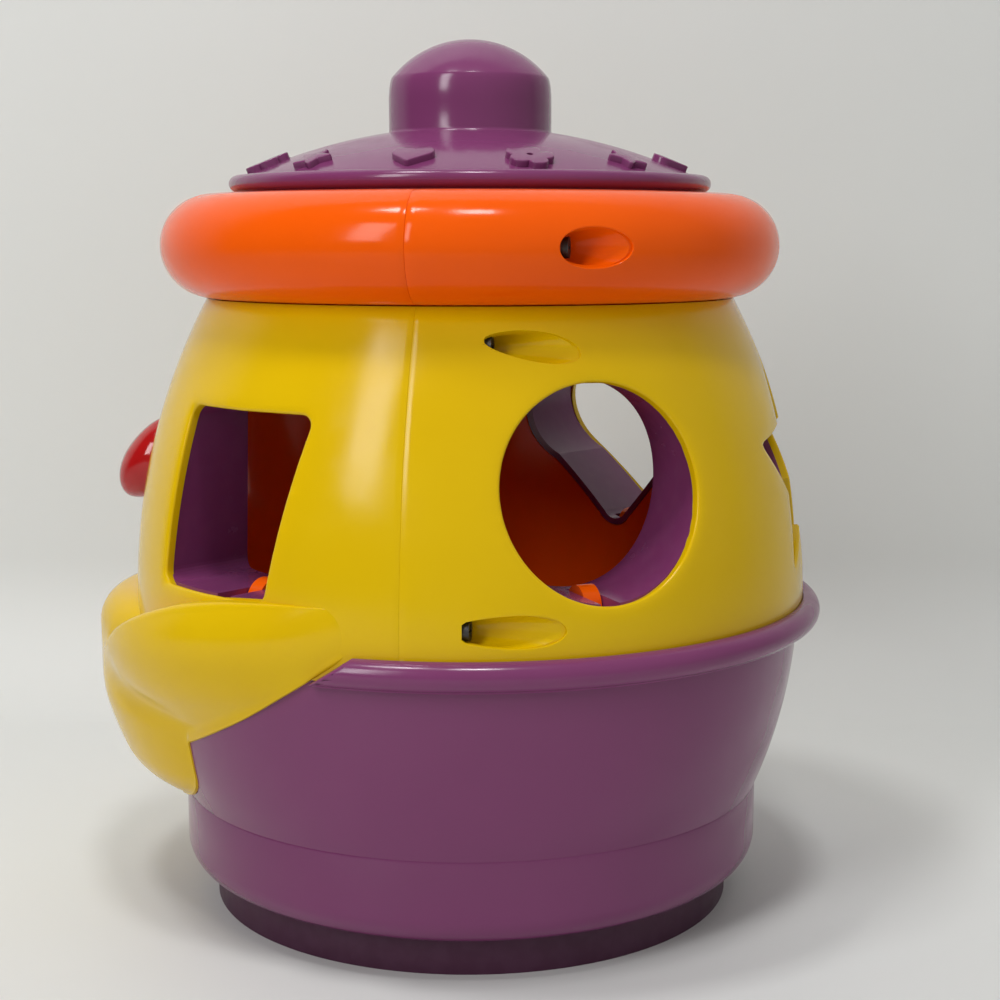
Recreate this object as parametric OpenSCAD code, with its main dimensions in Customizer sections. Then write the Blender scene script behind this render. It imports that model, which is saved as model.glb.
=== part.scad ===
// Toy cookie jar with shape-sorting holes, a nose button and a lift-off lid.
// Millimetres. +Z is up, the floor is z = 0 and the face looks along -Y.

/* [Base] */
// Radius of the recessed foot
foot_r = 81; // [80.6:0.1:82]
// Height of the foot under the skirt
foot_h = 10.5; // [10:0.5:12]
// Radius of the straight skirt
skirt_r = 89.9; // [89.8:0.1:90.6]
// Height of the skirt
skirt_h = 25.2; // [24:0.2:26]
// Rounding of the skirt's lower edge
skirt_edge_r = 9; // [8:0.5:9.4]
// Radius of the bowl's widest part, under the rim
bowl_r = 102; // [101.6:0.1:102.4]
// Height from the skirt to the top of the rim
bowl_h = 59.5; // [59:0.5:62]
// Radius of the bowl's upright curve
bowl_arc_r = 150; // [146:1:152]
// Outer radius of the rolled rim
rim_r = 108.7; // [108:0.1:110]
// Radius of the rim's bead
rim_bead_r = 4; // [3.6:0.1:4.4]
// Depth of the step that holds the shell inside the rim
seat_depth = 7.2; // [6:0.2:8]
// Thickness of the ledge under the shell
ledge_t = 6; // [4:0.5:8]
// Inner radius of the ledge
ledge_r = 84; // [82:0.5:85]
// Wall of the base and the shells
wall = 2.6; // [2:0.1:3]

/* [Shell] */
// Largest outer radius of the yellow shell
barrel_r = 103.4; // [102.6:0.1:103.8]
// Radius of the shell's upright curve
barrel_arc_r = 190; // [180:1:210]
// Outer radius of the shell's neck
neck_r = 80.1; // [79.6:0.1:80.6]
// Thickness of the shell's lower flange
flange_t = 2.4; // [2:0.1:2.8]

/* [Mouth] */
// Radius of the smile's round lip
lip_r = 26; // [24:0.5:27]
// Reach of the smile from its own axis
lip_reach = 103.9; // [103.4:0.1:104.2]
// Shift of the smile's axis to the front
lip_shift = 12; // [11.4:0.1:12.6]
// Height of the smile's corners over the rim
lip_rise = 4; // [3:0.2:5]
// Angle that the smile drops to the front
lip_drop = 11; // [9:0.5:12]
// Angle under the lip's middle where its straight flank starts
flank_from = 35; // [33:1:37]
// Slant of the flank
flank_slant = 31; // [29:1:32]
// Height of the smile's two top edges at the middle, under the rim
brow_drop = 33; // [31:0.5:35]
// Slope of the smile's two top edges
brow_slope = 26; // [24:0.5:28]
// Height of the smile's lower edge over the rim, at the jar's axis
jaw_rise = 4.8; // [4:0.2:6]
// Slope of the smile's lower edge
jaw_slope = 30; // [28:0.5:32]
// Distance of the chin's axis from the jar's axis
chin_y = 60; // [58:0.5:61]
// Largest radius of the chin
chin_r = 59.2; // [58:0.2:60]
// Radius of the chin's upright curve
chin_arc_r = 85; // [80:1:90]
// Depth of the chin's widest place under the rim
chin_drop = 11.2; // [10:0.2:12]
// Height of the chin's top over the rim
chin_top = 7.8; // [7:0.2:9]
// Depth of the chin's lowest place under the rim
chin_low = 62.7; // [61:0.2:64]
// Rounding of the chin's upper edge
chin_top_r = 11; // [9:0.5:12]
// Rounding of the chin's lower edge
chin_low_r = 22.2; // [20:0.2:23]

/* [Holes] */
// Angle of the two front holes from the face
front_hole_angle = 58; // [57:0.5:60]
// Height of the circle's centre over the rim
circle_rise = 41.8; // [41:0.2:43]
// Radius of the circle
circle_r = 29; // [27:0.2:29.4]
// Height of the square's centre over the rim
square_rise = 36.8; // [36:0.2:38]
// Width of the square at its lower edge
square_w = 45; // [43:0.5:46]
// Extra width of the square at its top edge
square_flare = 4.6; // [3:0.2:5]
// Height of the square
square_h = 50; // [48:0.5:51]
// Sideways step from the square's lower edge to its top edge
square_shift = 5.2; // [4:0.2:6]
// Corner radius of the square
square_corner_r = 3.4; // [2:0.2:5]
// Lean of the triangle
shape_lean = 8.5; // [5:0.5:10]
// Height of the star's centre over the rim
star_rise = 39.3; // [38.5:0.1:40.5]
// Point radius of the star
star_r = 34.5; // [33:0.5:35]
// Notch radius of the star
star_notch_r = 17.25; // [16.5:0.25:18]
// Height of the heart's centre over the rim
heart_rise = 36.3; // [36:0.1:37.5]
// Side of the heart's square
heart_side = 37; // [35:0.5:37]
// Rounding of the heart's tip as a share of its side
heart_tip = 0.14; // [0.1:0.01:0.16]
// Height of the triangle's centre over the rim
triangle_rise = 28.3; // [28:0.1:30]
// Distance from the triangle's centre to its sides
triangle_in_r = 16.7; // [16:0.1:17]
// Rounding taken off the points of the star and triangle
point_cut = 1.5; // [1:0.1:3]
// Wall of the chutes
chute_wall = 2; // [1.6:0.1:2.2]
// Width of the chutes' collars
chute_lip = 1.5; // [1:0.1:1.8]
// Clearance around the chutes
chute_gap = 0.3; // [0.2:0.05:0.4]

/* [Bin] */
// Outer radius of the cookie bin
bin_r = 76; // [75:0.2:76.5]
// Wall of the bin
bin_wall = 2.4; // [2:0.1:2.6]
// Depth of the bin's floor under the ledge
bin_drop = 26; // [20:1:30]
// Reach of the bin's flange past its wall
bin_flange = 16; // [15:0.5:16.5]

/* [Ring] */
// Outer radius of the fat ring
ring_r = 94; // [93.5:0.1:94.5]
// Radius of the ring's round section
ring_tube_r = 15.3; // [15:0.1:15.6]
// Height of the ring's centre over the rim
ring_rise = 106; // [105:0.2:107]
// Wall of the ring
ring_wall = 2.5; // [2.2:0.1:2.8]
// Depth of the neck's top under the ring's centre
neck_drop = 7.2; // [7:0.1:7.6]
// Height of the lid's seat over the ring's centre
seat_rise = 13.4; // [13.2:0.1:13.6]
// Inner radius of the lid's seat
seat_r = 66; // [65:0.2:66.4]

/* [Lid] */
// Outer radius of the lid
lid_r = 73.2; // [72.6:0.1:74]
// Radius of the lid's dome
dome_r = 163; // [155:1:175]
// Height of the dome over the lid's seat
dome_rise = 22.3; // [21.5:0.1:23]
// Radius of the bead on the lid's edge
lid_bead_r = 2.4; // [2.2:0.1:2.6]
// Wall of the lid
lid_wall = 2.4; // [2:0.1:2.6]
// Radius of the knob
knob_r = 24.7; // [22:0.1:26]
// Height of the knob over the dome
knob_rise = 26; // [22:0.5:30]
// Radius of the knob's rounded top
knob_top_r = 32; // [28:0.5:38]
// Depth of the plug under the lid's seat
plug_drop = 11; // [9:0.5:12]
// Clearance of the plug in the ring
plug_gap = 0.5; // [0.4:0.05:0.8]
// Number of raised shapes round the lid
charm_count = 12; // [6:3:12]
// Radius of the circle of raised shapes
charm_ring_r = 62; // [58:0.5:62.5]
// Size of a raised shape
charm_r = 6.4; // [5:0.1:6.6]
// Height of a raised shape
charm_h = 1.8; // [1:0.1:2.2]
// Turn of the raised shapes
charm_turn = 25.5; // [0:0.5:30]

/* [Nose] */
// Height of the nose over the rim
nose_rise = 38; // [36:0.5:40]
// Radius of the nose
nose_r = 13.2; // [12:0.1:13.6]
// Length of the nose's straight side
nose_neck = 5.6; // [5:0.1:6.4]
// Height of the nose's dome
nose_h = 8.6; // [7:0.1:10]
// Travel of the nose button
nose_travel = 2.5; // [1.5:0.1:2.6]
// Clearance round the nose
nose_gap = 0.4; // [0.3:0.05:0.6]

/* [Levers] */
// Height of a lever's nub over the chute's floor
nub_rise = 2.4; // [1.8:0.1:2.6]
// Radius of a nub
nub_r = 6; // [5:0.1:6.2]
// Distance of the nubs from the jar's axis
nub_at = 84; // [83.5:0.1:85]
// Distance of the lever pins from the jar's axis
pin_at = 96.5; // [96:0.1:96.6]
// Radius of the lever pins
pin_r = 1; // [0.8:0.05:1.1]
// Running clearance on the pins
pin_gap = 0.05; // [0.03:0.01:0.1]
// Thickness of the levers
lever_t = 5; // [4:0.2:6]
// Largest swing of a lever
lever_swing = 11; // [8:0.5:11]

/* [Screws and cells] */
// Shaft radius of the screws
screw_r = 1.5; // [1.2:0.1:1.6]
// Head radius of the screws
screw_head_r = 2.8; // [2.4:0.1:3]
// Height of the screw heads
screw_head_h = 2; // [1.6:0.1:2.2]
// Clearance round a screw's shaft
screw_gap = 0.1; // [0.05:0.01:0.2]
// Radius of the screw wells in the shell
well_r = 4.4; // [4:0.1:4.6]
// Radius of the screw wells in the ring
ring_well_r = 5.4; // [5:0.1:5.6]
// Diameter of a cell
cell_d = 14.2; // [14:0.1:14.5]
// Length of a cell
cell_l = 50; // [49:0.1:50.5]
// Clearance between a joint's faces
seat_gap = 0.2; // [0.1:0.05:0.3]

/* [Hidden] */
$fn = 96;
e = 0.01;
through = 400;

// Heights of the main faces
crease_z = foot_h + skirt_h;
rim_z = crease_z + bowl_h;
shell_z = rim_z - seat_depth;
ledge_z = shell_z - ledge_t;
flange_z = shell_z + flange_t;
ring_z = rim_z + ring_rise;
neck_z = ring_z - neck_drop;
shell_top = ring_z - ring_tube_r - seat_gap;
seat_z = ring_z + seat_rise;
dome_z = seat_z + dome_rise;
knob_z = dome_z + knob_rise;
plug_z = seat_z - plug_drop;
bin_z = shell_z - bin_drop;

// Radii that pieces share
rim_in_r = barrel_r + seat_gap;
step_r = barrel_r - wall - 0.3;
step_z = ledge_z - 2.5;
neck_in_r = neck_r - wall;
bin_in_r = bin_r - bin_wall;
ring_mid_r = ring_r - ring_tube_r;
ring_in_r = ring_r - 2 * ring_tube_r;
plug_r = ring_in_r - plug_gap;
bore_r = screw_r + screw_gap;
boss_r = screw_r + 2.9;
deck_screw_at = (ledge_r + bin_r + bin_flange) / 2;

// Holes in order: square, circle, star, heart, triangle
SQUARE = 0;
CIRCLE = 1;
STAR = 2;
HEART = 3;
TRIANGLE = 4;
hole_angle = [front_hole_angle, 180 - front_hole_angle, 180,
              front_hole_angle - 180, -front_hole_angle];
hole_z = [rim_z + square_rise, rim_z + circle_rise, rim_z + star_rise,
          rim_z + heart_rise, rim_z + triangle_rise];
floor_drop = [square_h / 2, circle_r, star_notch_r,
              heart_side * (sqrt(0.5) - heart_tip * (sqrt(2) - 1)), triangle_in_r / cos(shape_lean)];

// Screw places
deck_angles = [28, 83, 97, 151, -28, -83, -97, -151];
shell_screws_at = [[neck_r - 1.3, shell_top - 10.5, 18.5], [barrel_r - 5, rim_z + 7.3, 16]];
ring_screw_x = ring_mid_r + 1.3;
ring_screw_y = 39;
shell_screw_len = 14;
base_screw_at = 72.6;
base_angles = [45, 135, 225, 315];

// Nose frame
nose_z = rim_z + nose_rise;
nose_y = barrel_at(nose_z);
nose_tilt = asin(nose_rise / barrel_arc_r);
nose_ball_r = (nose_r * nose_r + nose_h * nose_h) / (2 * nose_h);
nose_wall = 2.2;
nose_flange_r = nose_r + 2.8;
nose_flange_t = 1.8;
nose_flange_u = -wall - 1.9;
nose_stem_r = 2.5;
nose_back_u = nose_flange_u - nose_flange_t - nose_travel - 0.7;
nose_plate_t = 2;
nose_stem_u = nose_back_u - nose_plate_t - 1;
nose_switch_u = nose_stem_u - nose_travel - 0.3;
nose_switch_h = 3.5;
nose_switch_w = 8;
nose_cup_r = nose_flange_r + 1;
nose_spring_r = 5;
nose_spring_wire = 0.5;
nose_spring_turns = 5;
nose_roof_u = 2;

// Lever frame
hub_r = pin_r + 1.6;
hub_drop = chute_wall + 0.4 + hub_r;
arm_top = 3;
arm_low = 5.5;
ear_t = 2;
ear_gap = 0.3;
lever_dip = (pin_at - nub_at + 3) * sin(lever_swing);
switch_top = arm_low + lever_dip + 0.2;
switch_h = 2;
switch_w = 6;
shelf_t = 1.3;

// Battery bay, speaker and switch in the foot
floor_t = 3;
bay_y = -27.2;
cell_pitch = cell_d + 0.8;
bay_l = cell_l + 6;
bay_w = 3 * cell_pitch + 1;
bay_wall = 3;
door_t = 2.4;
door_ledge = 7;
door_step = 3;
door_gap = 0.3;
bay_floor = door_t + 0.4;
bay_h = bay_floor + cell_d + 1;
bay_roof_t = 2;
door_screw_x = bay_l / 2 + 3.2;
board_t = 1.6;
board_l = 62;
board_w = 52;
board_post = 6;
board_z = bay_h + bay_roof_t + board_post;
board_hole = 4;
speaker_y = 42;
speaker_r = 20;
speaker_ring_t = 2;
slider_y = -66;
slider_l = 7.4;
slider_w = 5.4;
slider_travel = 4;
slider_gap = 0.3;
slider_plate_l = 20;
slider_plate_w = 9;
slider_plate_t = 1.5;

purple = [0.42, 0.13, 0.36];
dark_purple = [0.26, 0.10, 0.22];
yellow = [0.93, 0.77, 0.02];
orange = [0.97, 0.38, 0.05];
red = [0.74, 0.05, 0.07];
steel = [0.72, 0.72, 0.74];
grey = [0.80, 0.78, 0.74];
black = [0.12, 0.12, 0.13];

// Outer radius of the shell at height z
function barrel_at(z) =
    barrel_r - barrel_arc_r + sqrt(pow(barrel_arc_r, 2) - pow(z - rim_z, 2));

// Half section of a ring from radius a to b and from height z0 to z1
module band(a, b, z0, z1) {
    translate([a, z0]) square([b - a, z1 - z0]);
}

// Pan-head screw with a cross recess, head at the origin, shaft along +Z
module screw(len) {
    difference() {
        union() {
            translate([0, 0, -screw_head_h]) cylinder(r = screw_head_r, h = screw_head_h);
            translate([0, 0, -e]) cylinder(r = screw_r, h = len);
        }
        for (a = [0, 90])
            rotate([0, 0, a])
                translate([-screw_head_r * 0.6, -0.35, -screw_head_h - e])
                    cube([screw_head_r * 1.2, 0.7, screw_head_h / 2]);
    }
}

// Half section of the yellow shell's body, drawn in by an inset
module barrel_section(inset, z0) {
    intersection() {
        translate([barrel_r - barrel_arc_r, rim_z]) circle(barrel_arc_r - inset, $fn = 360);
        band(0, barrel_r, z0, shell_top);
    }
}

// Half section of the bowl over the skirt, grown by a gap
module bowl_arc(gap, z0, z1) {
    intersection() {
        translate([bowl_r - bowl_arc_r, rim_z]) circle(bowl_arc_r + gap, $fn = 360);
        band(0, rim_r, z0, z1);
    }
}

// Half section of the base's outside without its rim, grown by a gap
module bowl_section(gap) {
    bowl_arc(gap, crease_z - 1, shell_z + gap);
    band(0, skirt_r + gap, foot_h, crease_z + gap);
}

// Half section of the skirt up to a height, drawn in by an inset, with a round lower edge
module skirt_section(inset, z1) {
    edge_x = skirt_r - skirt_edge_r;
    edge_z = foot_h + skirt_edge_r;
    difference() {
        band(0, skirt_r - inset, foot_h + inset, z1);
        band(edge_x, skirt_r + 1, foot_h - 1, edge_z);
    }
    intersection() {
        translate([edge_x, edge_z]) circle(skirt_edge_r - inset);
        band(0, skirt_r, foot_h + inset, edge_z + e);
    }
}

// The smile's lip, a fat tilted ring with a straight flank under it
module lip(grow) {
    k = lip_r + grow;
    down = [-sin(flank_slant), -cos(flank_slant)];
    from = k * [cos(flank_from), -sin(flank_from)];
    low = from + 40 * down;
    translate([0, -lip_shift, rim_z + lip_rise])
        rotate([lip_drop, 0, 0])
            rotate_extrude()
                translate([lip_reach - lip_r, 0]) {
                    circle(k);
                    polygon([[0, -4], from - 4 * down, low, [-k * 0.8, low[1]], [-k * 0.8, -4]]);
                }
}

// The chin under the middle of the smile
module chin(grow) {
    low_z = rim_z - chin_low;
    top_z = rim_z + chin_top;
    mid_z = rim_z - chin_drop;
    low_x = chin_r - chin_low_r - 7;
    top_x = chin_r - chin_top_r - 0.3;
    translate([0, -chin_y, 0])
        rotate_extrude() {
            translate([low_x, low_z + chin_low_r]) circle(chin_low_r + grow);
            translate([top_x, top_z - chin_top_r]) circle(chin_top_r + grow);
            intersection() {
                translate([chin_r - chin_arc_r, mid_z]) circle(chin_arc_r + grow, $fn = 240);
                band(0, chin_r + 1, low_z + chin_low_r * 0.65, top_z - chin_top_r);
            }
            band(0, low_x, low_z - grow + 4 * e, low_z + chin_low_r);
            band(0, top_x, top_z - chin_top_r - 1, top_z + grow - 4 * e);
        }
}

// Everything over the smile's sloping lower edge, raised by a gap
module jaw_space(gap) {
    translate([0, 0, rim_z + jaw_rise])
        rotate([jaw_slope, 0, 0])
            translate([-through / 2, -through, gap]) cube(through);
}

// The lip cut to two wings by its sloping top edges and lower edge
module wings(grow) {
    z0 = rim_z - brow_drop + grow / cos(brow_slope);
    x1 = lip_reach + 10;
    difference() {
        intersection() {
            lip(grow);
            jaw_space(1.5 * seat_gap - grow);
        }
        rotate([90, 0, 0])
            linear_extrude(through)
                polygon([[0, z0], [x1, z0 + x1 * tan(brow_slope)], [x1, z0 + 200],
                         [-x1, z0 + 200], [-x1, z0 + x1 * tan(brow_slope)]]);
    }
}

module mouth(grow) {
    wings(grow);
    chin(grow);
}

// Part of the base's lip that is stepped back behind the smile
module front_step(gap) {
    intersection() {
        difference() {
            translate([0, 0, step_z + gap]) cylinder(r = rim_r + 20, h = 40);
            translate([0, 0, step_z - 1]) cylinder(r = step_r + gap, h = 60);
        }
        jaw_space(gap);
    }
}

// Everything the base fills, grown by a gap, for what fits over it
module base_envelope(gap) {
    difference() {
        rotate_extrude() bowl_section(gap);
        front_step(gap);
    }
}

// Everything in front of the parting plane, and everything behind it
module front_half() {
    intersection() {
        children();
        translate([-through / 2, -through, -e]) cube([through, through, through]);
    }
}

module back_half() {
    intersection() {
        children();
        translate([-through / 2, 0, -e]) cube([through, through, through]);
    }
}

// Outlines of the five shapes, grown by a margin
function corner_arc(middle, r, a0, a1) =
    [for (i = [0 : 6]) middle + r * [cos(a0 + (a1 - a0) * i / 6), sin(a0 + (a1 - a0) * i / 6)]];

// Square with level top and bottom edges and leaning sides
module leaning_square(grow) {
    k = square_corner_r;
    r = k + grow;
    h = square_h / 2 - k;
    low = square_w / 2 - k;
    top = (square_w + square_flare) / 2 - k;
    right = atan((top - low + square_shift) / (2 * h));
    left = atan((top - low - square_shift) / (2 * h));
    translate([-square_shift / 2, 0])
        polygon(concat(corner_arc([low - square_shift / 2, -h], r, 270, 360 - right),
                       corner_arc([top + square_shift / 2, h], r, -right, 90),
                       corner_arc([-top + square_shift / 2, h], r, 90, 180 + left),
                       corner_arc([-low - square_shift / 2, -h], r, 180 + left, 270)));
}

module star(tip, notch, grow) {
    edge = sqrt(tip * tip + notch * notch - 2 * tip * notch * cos(36));
    k = 1 + grow * edge / (tip * notch * sin(36));
    intersection() {
        polygon([for (i = [0 : 9])
            k * (i % 2 == 0 ? tip : notch) * [sin(36 * i), cos(36 * i)]]);
        circle(tip - point_cut + grow);
    }
}

module heart(side, grow) {
    c = side * sqrt(0.125);
    r = side / 2 + grow;
    d = 0.96 * r * sqrt(0.5);
    tip_z = (2 * heart_tip - 1) * side * sqrt(0.5);
    tip_r = heart_tip * side + grow;
    t = 0.98 * tip_r * sqrt(0.5);
    polygon([[t, tip_z - t], [c + d, c - d], [0, side / 2], [-c - d, c - d], [-t, tip_z - t]]);
    translate([0, tip_z]) circle(tip_r);
    for (x = [-1, 1])
        translate([x * c, c]) circle(r);
}

module triangle(in_r, grow) {
    intersection() {
        polygon([for (i = [0 : 2]) 2 * (in_r + grow) * [sin(120 * i), cos(120 * i)]]);
        circle(2 * in_r - 4 * point_cut + grow);
    }
}

module outline(i, grow) {
    if (i == SQUARE) leaning_square(grow);
    if (i == CIRCLE) circle(circle_r + grow);
    if (i == STAR) star(star_r, star_notch_r, grow);
    if (i == HEART) heart(heart_side, grow);
    if (i == TRIANGLE) rotate(shape_lean) triangle(triangle_in_r, grow);
}

// Places children at a hole: x across, y up and z outward from the jar's axis
module at_hole(i) {
    rotate([0, 0, hole_angle[i]])
        translate([0, 0, hole_z[i]])
            rotate([90, 0, 0])
                children();
}

module hole_prism(i, grow) {
    at_hole(i)
        translate([0, 0, bin_in_r - 16]) linear_extrude(60) outline(i, grow);
}

// Ring-shaped space between the bin and the shell
module sleeve_space(inner_r) {
    rotate_extrude()
        difference() {
            barrel_section(wall + seat_gap, flange_z + flange_t);
            band(0, inner_r, 0, through);
        }
}

module base_tub() {
    color(purple)
        difference() {
            union() {
                difference() {
                    rotate_extrude() {
                        base_section();
                        rim_section();
                    }
                    front_step(0);
                }
                for (a = base_angles)
                    rotate([0, 0, a])
                        translate([base_screw_at, 0, foot_h + e])
                            cylinder(r = boss_r, h = wall + 10);
            }
            for (a = base_angles)
                rotate([0, 0, a])
                    translate([base_screw_at, 0, foot_h - e])
                        cylinder(r = bore_r, h = wall + 8);
            deck_bores(ledge_z - 1, shell_z + 1);
        }
}

// Half section of the base's floor, skirt, bowl and ledge
module base_section() {
    difference() {
        union() {
            bowl_arc(0, crease_z - 1, shell_z);
            skirt_section(0, crease_z);
        }
        bowl_arc(-wall, crease_z - 1, ledge_z);
        skirt_section(wall, crease_z);
        band(0, ledge_r, foot_h + wall, shell_z + 1);
        band(0, base_screw_at - boss_r - 0.6, foot_h - 1, ledge_z);
    }
}

// Half section of the rolled rim round the shell
module rim_section() {
    difference() {
        union() {
            translate([rim_r - rim_bead_r, rim_z - rim_bead_r]) circle(rim_bead_r);
            band(rim_in_r - 2, rim_r - rim_bead_r, shell_z - 2, rim_z - rim_bead_r);
        }
        band(0, rim_in_r, shell_z, rim_z + 1);
    }
}

module base_plate() {
    color(dark_purple)
        difference() {
            union() {
                rotate_extrude() {
                    band(0, foot_r, 0, floor_t);
                    band(foot_r - wall, foot_r, 0, foot_h);
                }
                for (a = base_angles)
                    rotate([0, 0, a])
                        translate([base_screw_at, 0, 0])
                            cylinder(r = screw_head_r + 2.4, h = foot_h);
                translate([0, bay_y, (bay_h + bay_roof_t) / 2])
                    cube([bay_l + 2 * (bay_wall + door_ledge), bay_w + 2 * (bay_wall + door_step - 1),
                          bay_h + bay_roof_t], center = true);
                for (x = [-1, 1], y = [-1, 1])
                    translate([x * (board_l / 2 - board_hole),
                               bay_y + y * (board_w / 2 - board_hole), bay_h])
                        cylinder(r = 3, h = bay_roof_t + board_post);
                translate([0, speaker_y, 0])
                    rotate_extrude()
                        band(speaker_r + seat_gap, speaker_r + seat_gap + speaker_ring_t, 1, 9);
            }
            for (a = base_angles)
                rotate([0, 0, a])
                    translate([base_screw_at, 0, -e]) {
                        cylinder(r = bore_r, h = foot_h + 1);
                        cylinder(r = screw_head_r + 0.3, h = foot_h - 4 + e);
                    }
            translate([0, bay_y, bay_h / 2]) cube([bay_l, bay_w, bay_h], center = true);
            translate([0, bay_y, bay_floor / 2 - e / 2])
                cube([bay_l + 2 * door_ledge, bay_w + 2 * door_step, bay_floor + e], center = true);
            translate([door_screw_x, bay_y, 0]) cylinder(r = bore_r, h = bay_floor + 9);
            for (x = [-1, 1], y = [-1, 1])
                translate([x * (board_l / 2 - board_hole),
                           bay_y + y * (board_w / 2 - board_hole), bay_h + bay_roof_t - 1])
                    cylinder(r = bore_r, h = board_post + 2);
            translate([0, speaker_y, -e]) grille(1.6, floor_t + 1);
            translate([0, slider_y, floor_t / 2])
                cube([slider_l + 2 * (slider_travel + slider_gap), slider_w + 2 * slider_gap,
                      floor_t + 2 * e], center = true);
        }
}

// Round pattern of sound holes
module grille(r, h) {
    cylinder(r = r, h = h);
    for (ring = [1, 2], i = [0 : 6 * ring - 1])
        rotate([0, 0, 60 / ring * i]) translate([6 * ring, 0, 0]) cylinder(r = r, h = h);
}

module base_screws() {
    color(steel)
        for (a = base_angles)
            rotate([0, 0, a])
                translate([base_screw_at, 0, foot_h - 4]) screw(14);
}

module battery_door() {
    color(dark_purple)
        difference() {
            translate([0, bay_y, bay_floor - seat_gap - door_t / 2])
                cube([bay_l + 2 * (door_ledge - door_gap), bay_w + 2 * (door_step - door_gap), door_t],
                     center = true);
            translate([door_screw_x, bay_y, -1]) {
                cylinder(r = bore_r, h = door_t + 3);
                cylinder(r = screw_head_r + 0.2, h = 1 + bay_floor - seat_gap - door_t + 1.2);
            }
        }
}

module battery_door_screw() {
    color(steel)
        translate([door_screw_x, bay_y, bay_floor - seat_gap - door_t + 1.2])
            difference() {
                union() {
                    translate([0, 0, -1]) cylinder(r = screw_head_r, h = 1);
                    translate([0, 0, -e]) cylinder(r = screw_r, h = 8);
                }
                translate([-screw_head_r * 0.6, -0.35, -1 - e])
                    cube([screw_head_r * 1.2, 0.7, 0.6]);
            }
}

module batteries() {
    color(black)
        for (i = [-1 : 1])
            translate([0, bay_y + i * cell_pitch, bay_floor + cell_d / 2 + 0.3])
                rotate([0, i == 0 ? -90 : 90, 0]) {
                    translate([0, 0, -cell_l / 2]) cylinder(d = cell_d, h = cell_l - 1.2);
                    translate([0, 0, cell_l / 2 - 1.2 - e]) cylinder(d = 5.5, h = 1.2);
                }
}

module battery_contacts() {
    color(steel)
        for (i = [-1 : 1], s = [-1, 1])
            translate([s * bay_l / 2, bay_y + i * cell_pitch, bay_floor + cell_d / 2 + 0.3])
                rotate([0, -s * 90, 0]) {
                    translate([-5, -5, 0.1]) cube([10, 10, 0.6]);
                    translate([0, 0, 0.6]) cylinder(r1 = 4, r2 = 2, h = 2.2);
                }
}

module circuit_board() {
    color([0.10, 0.36, 0.18])
        difference() {
            union() {
                translate([0, bay_y, board_z + board_t / 2])
                    cube([board_l, board_w, board_t], center = true);
                translate([-6, bay_y - 6, board_z + board_t - e]) cube([12, 12, 2]);
                for (x = [-20, 20])
                    translate([x, bay_y + 12, board_z + board_t - e]) cylinder(r = 3, h = 8);
                translate([-14, bay_y - 22, board_z + board_t - e]) cube([28, 6, 6]);
            }
            for (x = [-1, 1], y = [-1, 1])
                translate([x * (board_l / 2 - board_hole), bay_y + y * (board_w / 2 - board_hole),
                           board_z - 1])
                    cylinder(r = bore_r, h = board_t + 2);
        }
}

module board_screws() {
    color(steel)
        for (x = [-1, 1], y = [-1, 1])
            translate([x * (board_l / 2 - board_hole), bay_y + y * (board_w / 2 - board_hole),
                       board_z + board_t])
                rotate([180, 0, 0]) screw(board_t + board_post - 1);
}

module speaker() {
    color(black)
        translate([0, speaker_y, floor_t]) {
            cylinder(r = speaker_r, h = 2);
            translate([0, 0, 2 - e]) cylinder(r1 = speaker_r - 1, r2 = 11, h = 9);
            translate([0, 0, 11 - 2 * e]) cylinder(r = 12, h = 6);
        }
}

module switch_housing() {
    inner_l = slider_plate_l + 2 * (slider_travel + slider_gap);
    inner_w = slider_plate_w + 2 * slider_gap;
    inner_h = slider_plate_t + 2 * slider_gap;
    color(black)
        translate([0, slider_y, floor_t])
            difference() {
                translate([0, 0, (inner_h + 4) / 2])
                    cube([inner_l + 3, inner_w + 3, inner_h + 4], center = true);
                translate([0, 0, inner_h / 2 - e]) cube([inner_l, inner_w, inner_h], center = true);
            }
}

module power_slider() {
    color(orange)
        translate([0, slider_y, 0]) {
            translate([0, 0, (floor_t + slider_gap + 0.8) / 2 + e])
                cube([slider_l, slider_w, floor_t + slider_gap - 0.8 + 2 * e], center = true);
            translate([0, 0, floor_t + slider_gap + slider_plate_t / 2])
                cube([slider_plate_l, slider_plate_w, slider_plate_t], center = true);
        }
}

// Section shared by both shell halves: body, neck and lower flange
module shell_section() {
    difference() {
        union() {
            barrel_section(0, shell_z);
            band(neck_in_r, neck_r, shell_top - 4, neck_z);
        }
        barrel_section(wall, flange_z);
        band(0, neck_in_r, flange_z, neck_z + 1);
        band(0, ledge_r, shell_z - 1, flange_z + 1);
    }
}

// Screw bosses along Y inside the shell, at both sides
module shell_bosses() {
    for (p = shell_screws_at, s = [-1, 1])
        translate([s * p[0], p[2], p[1]])
            rotate([90, 0, 0]) cylinder(r = boss_r, h = p[2] + shell_screw_len);
}

module shell_bores() {
    for (p = shell_screws_at, s = [-1, 1])
        translate([s * p[0], p[2], p[1]])
            rotate([90, 0, 0]) {
                translate([0, 0, -e]) cylinder(r = bore_r, h = p[2] + shell_screw_len - 2);
                translate([0, 0, -60]) cylinder(r = well_r, h = 60);
            }
}

// Places children at each screw through the ledge
module at_deck(z) {
    for (a = deck_angles)
        rotate([0, 0, a - 90]) translate([deck_screw_at, 0, z]) children();
}

module deck_bores(z0, z1) {
    at_deck(z0) cylinder(r = bore_r, h = z1 - z0);
}

// Room for bosses between the bin and the outside of the shell
module boss_space() {
    rotate_extrude()
        difference() {
            barrel_section(0.4, shell_z);
            band(0, bin_r + seat_gap, 0, through);
        }
}

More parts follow.
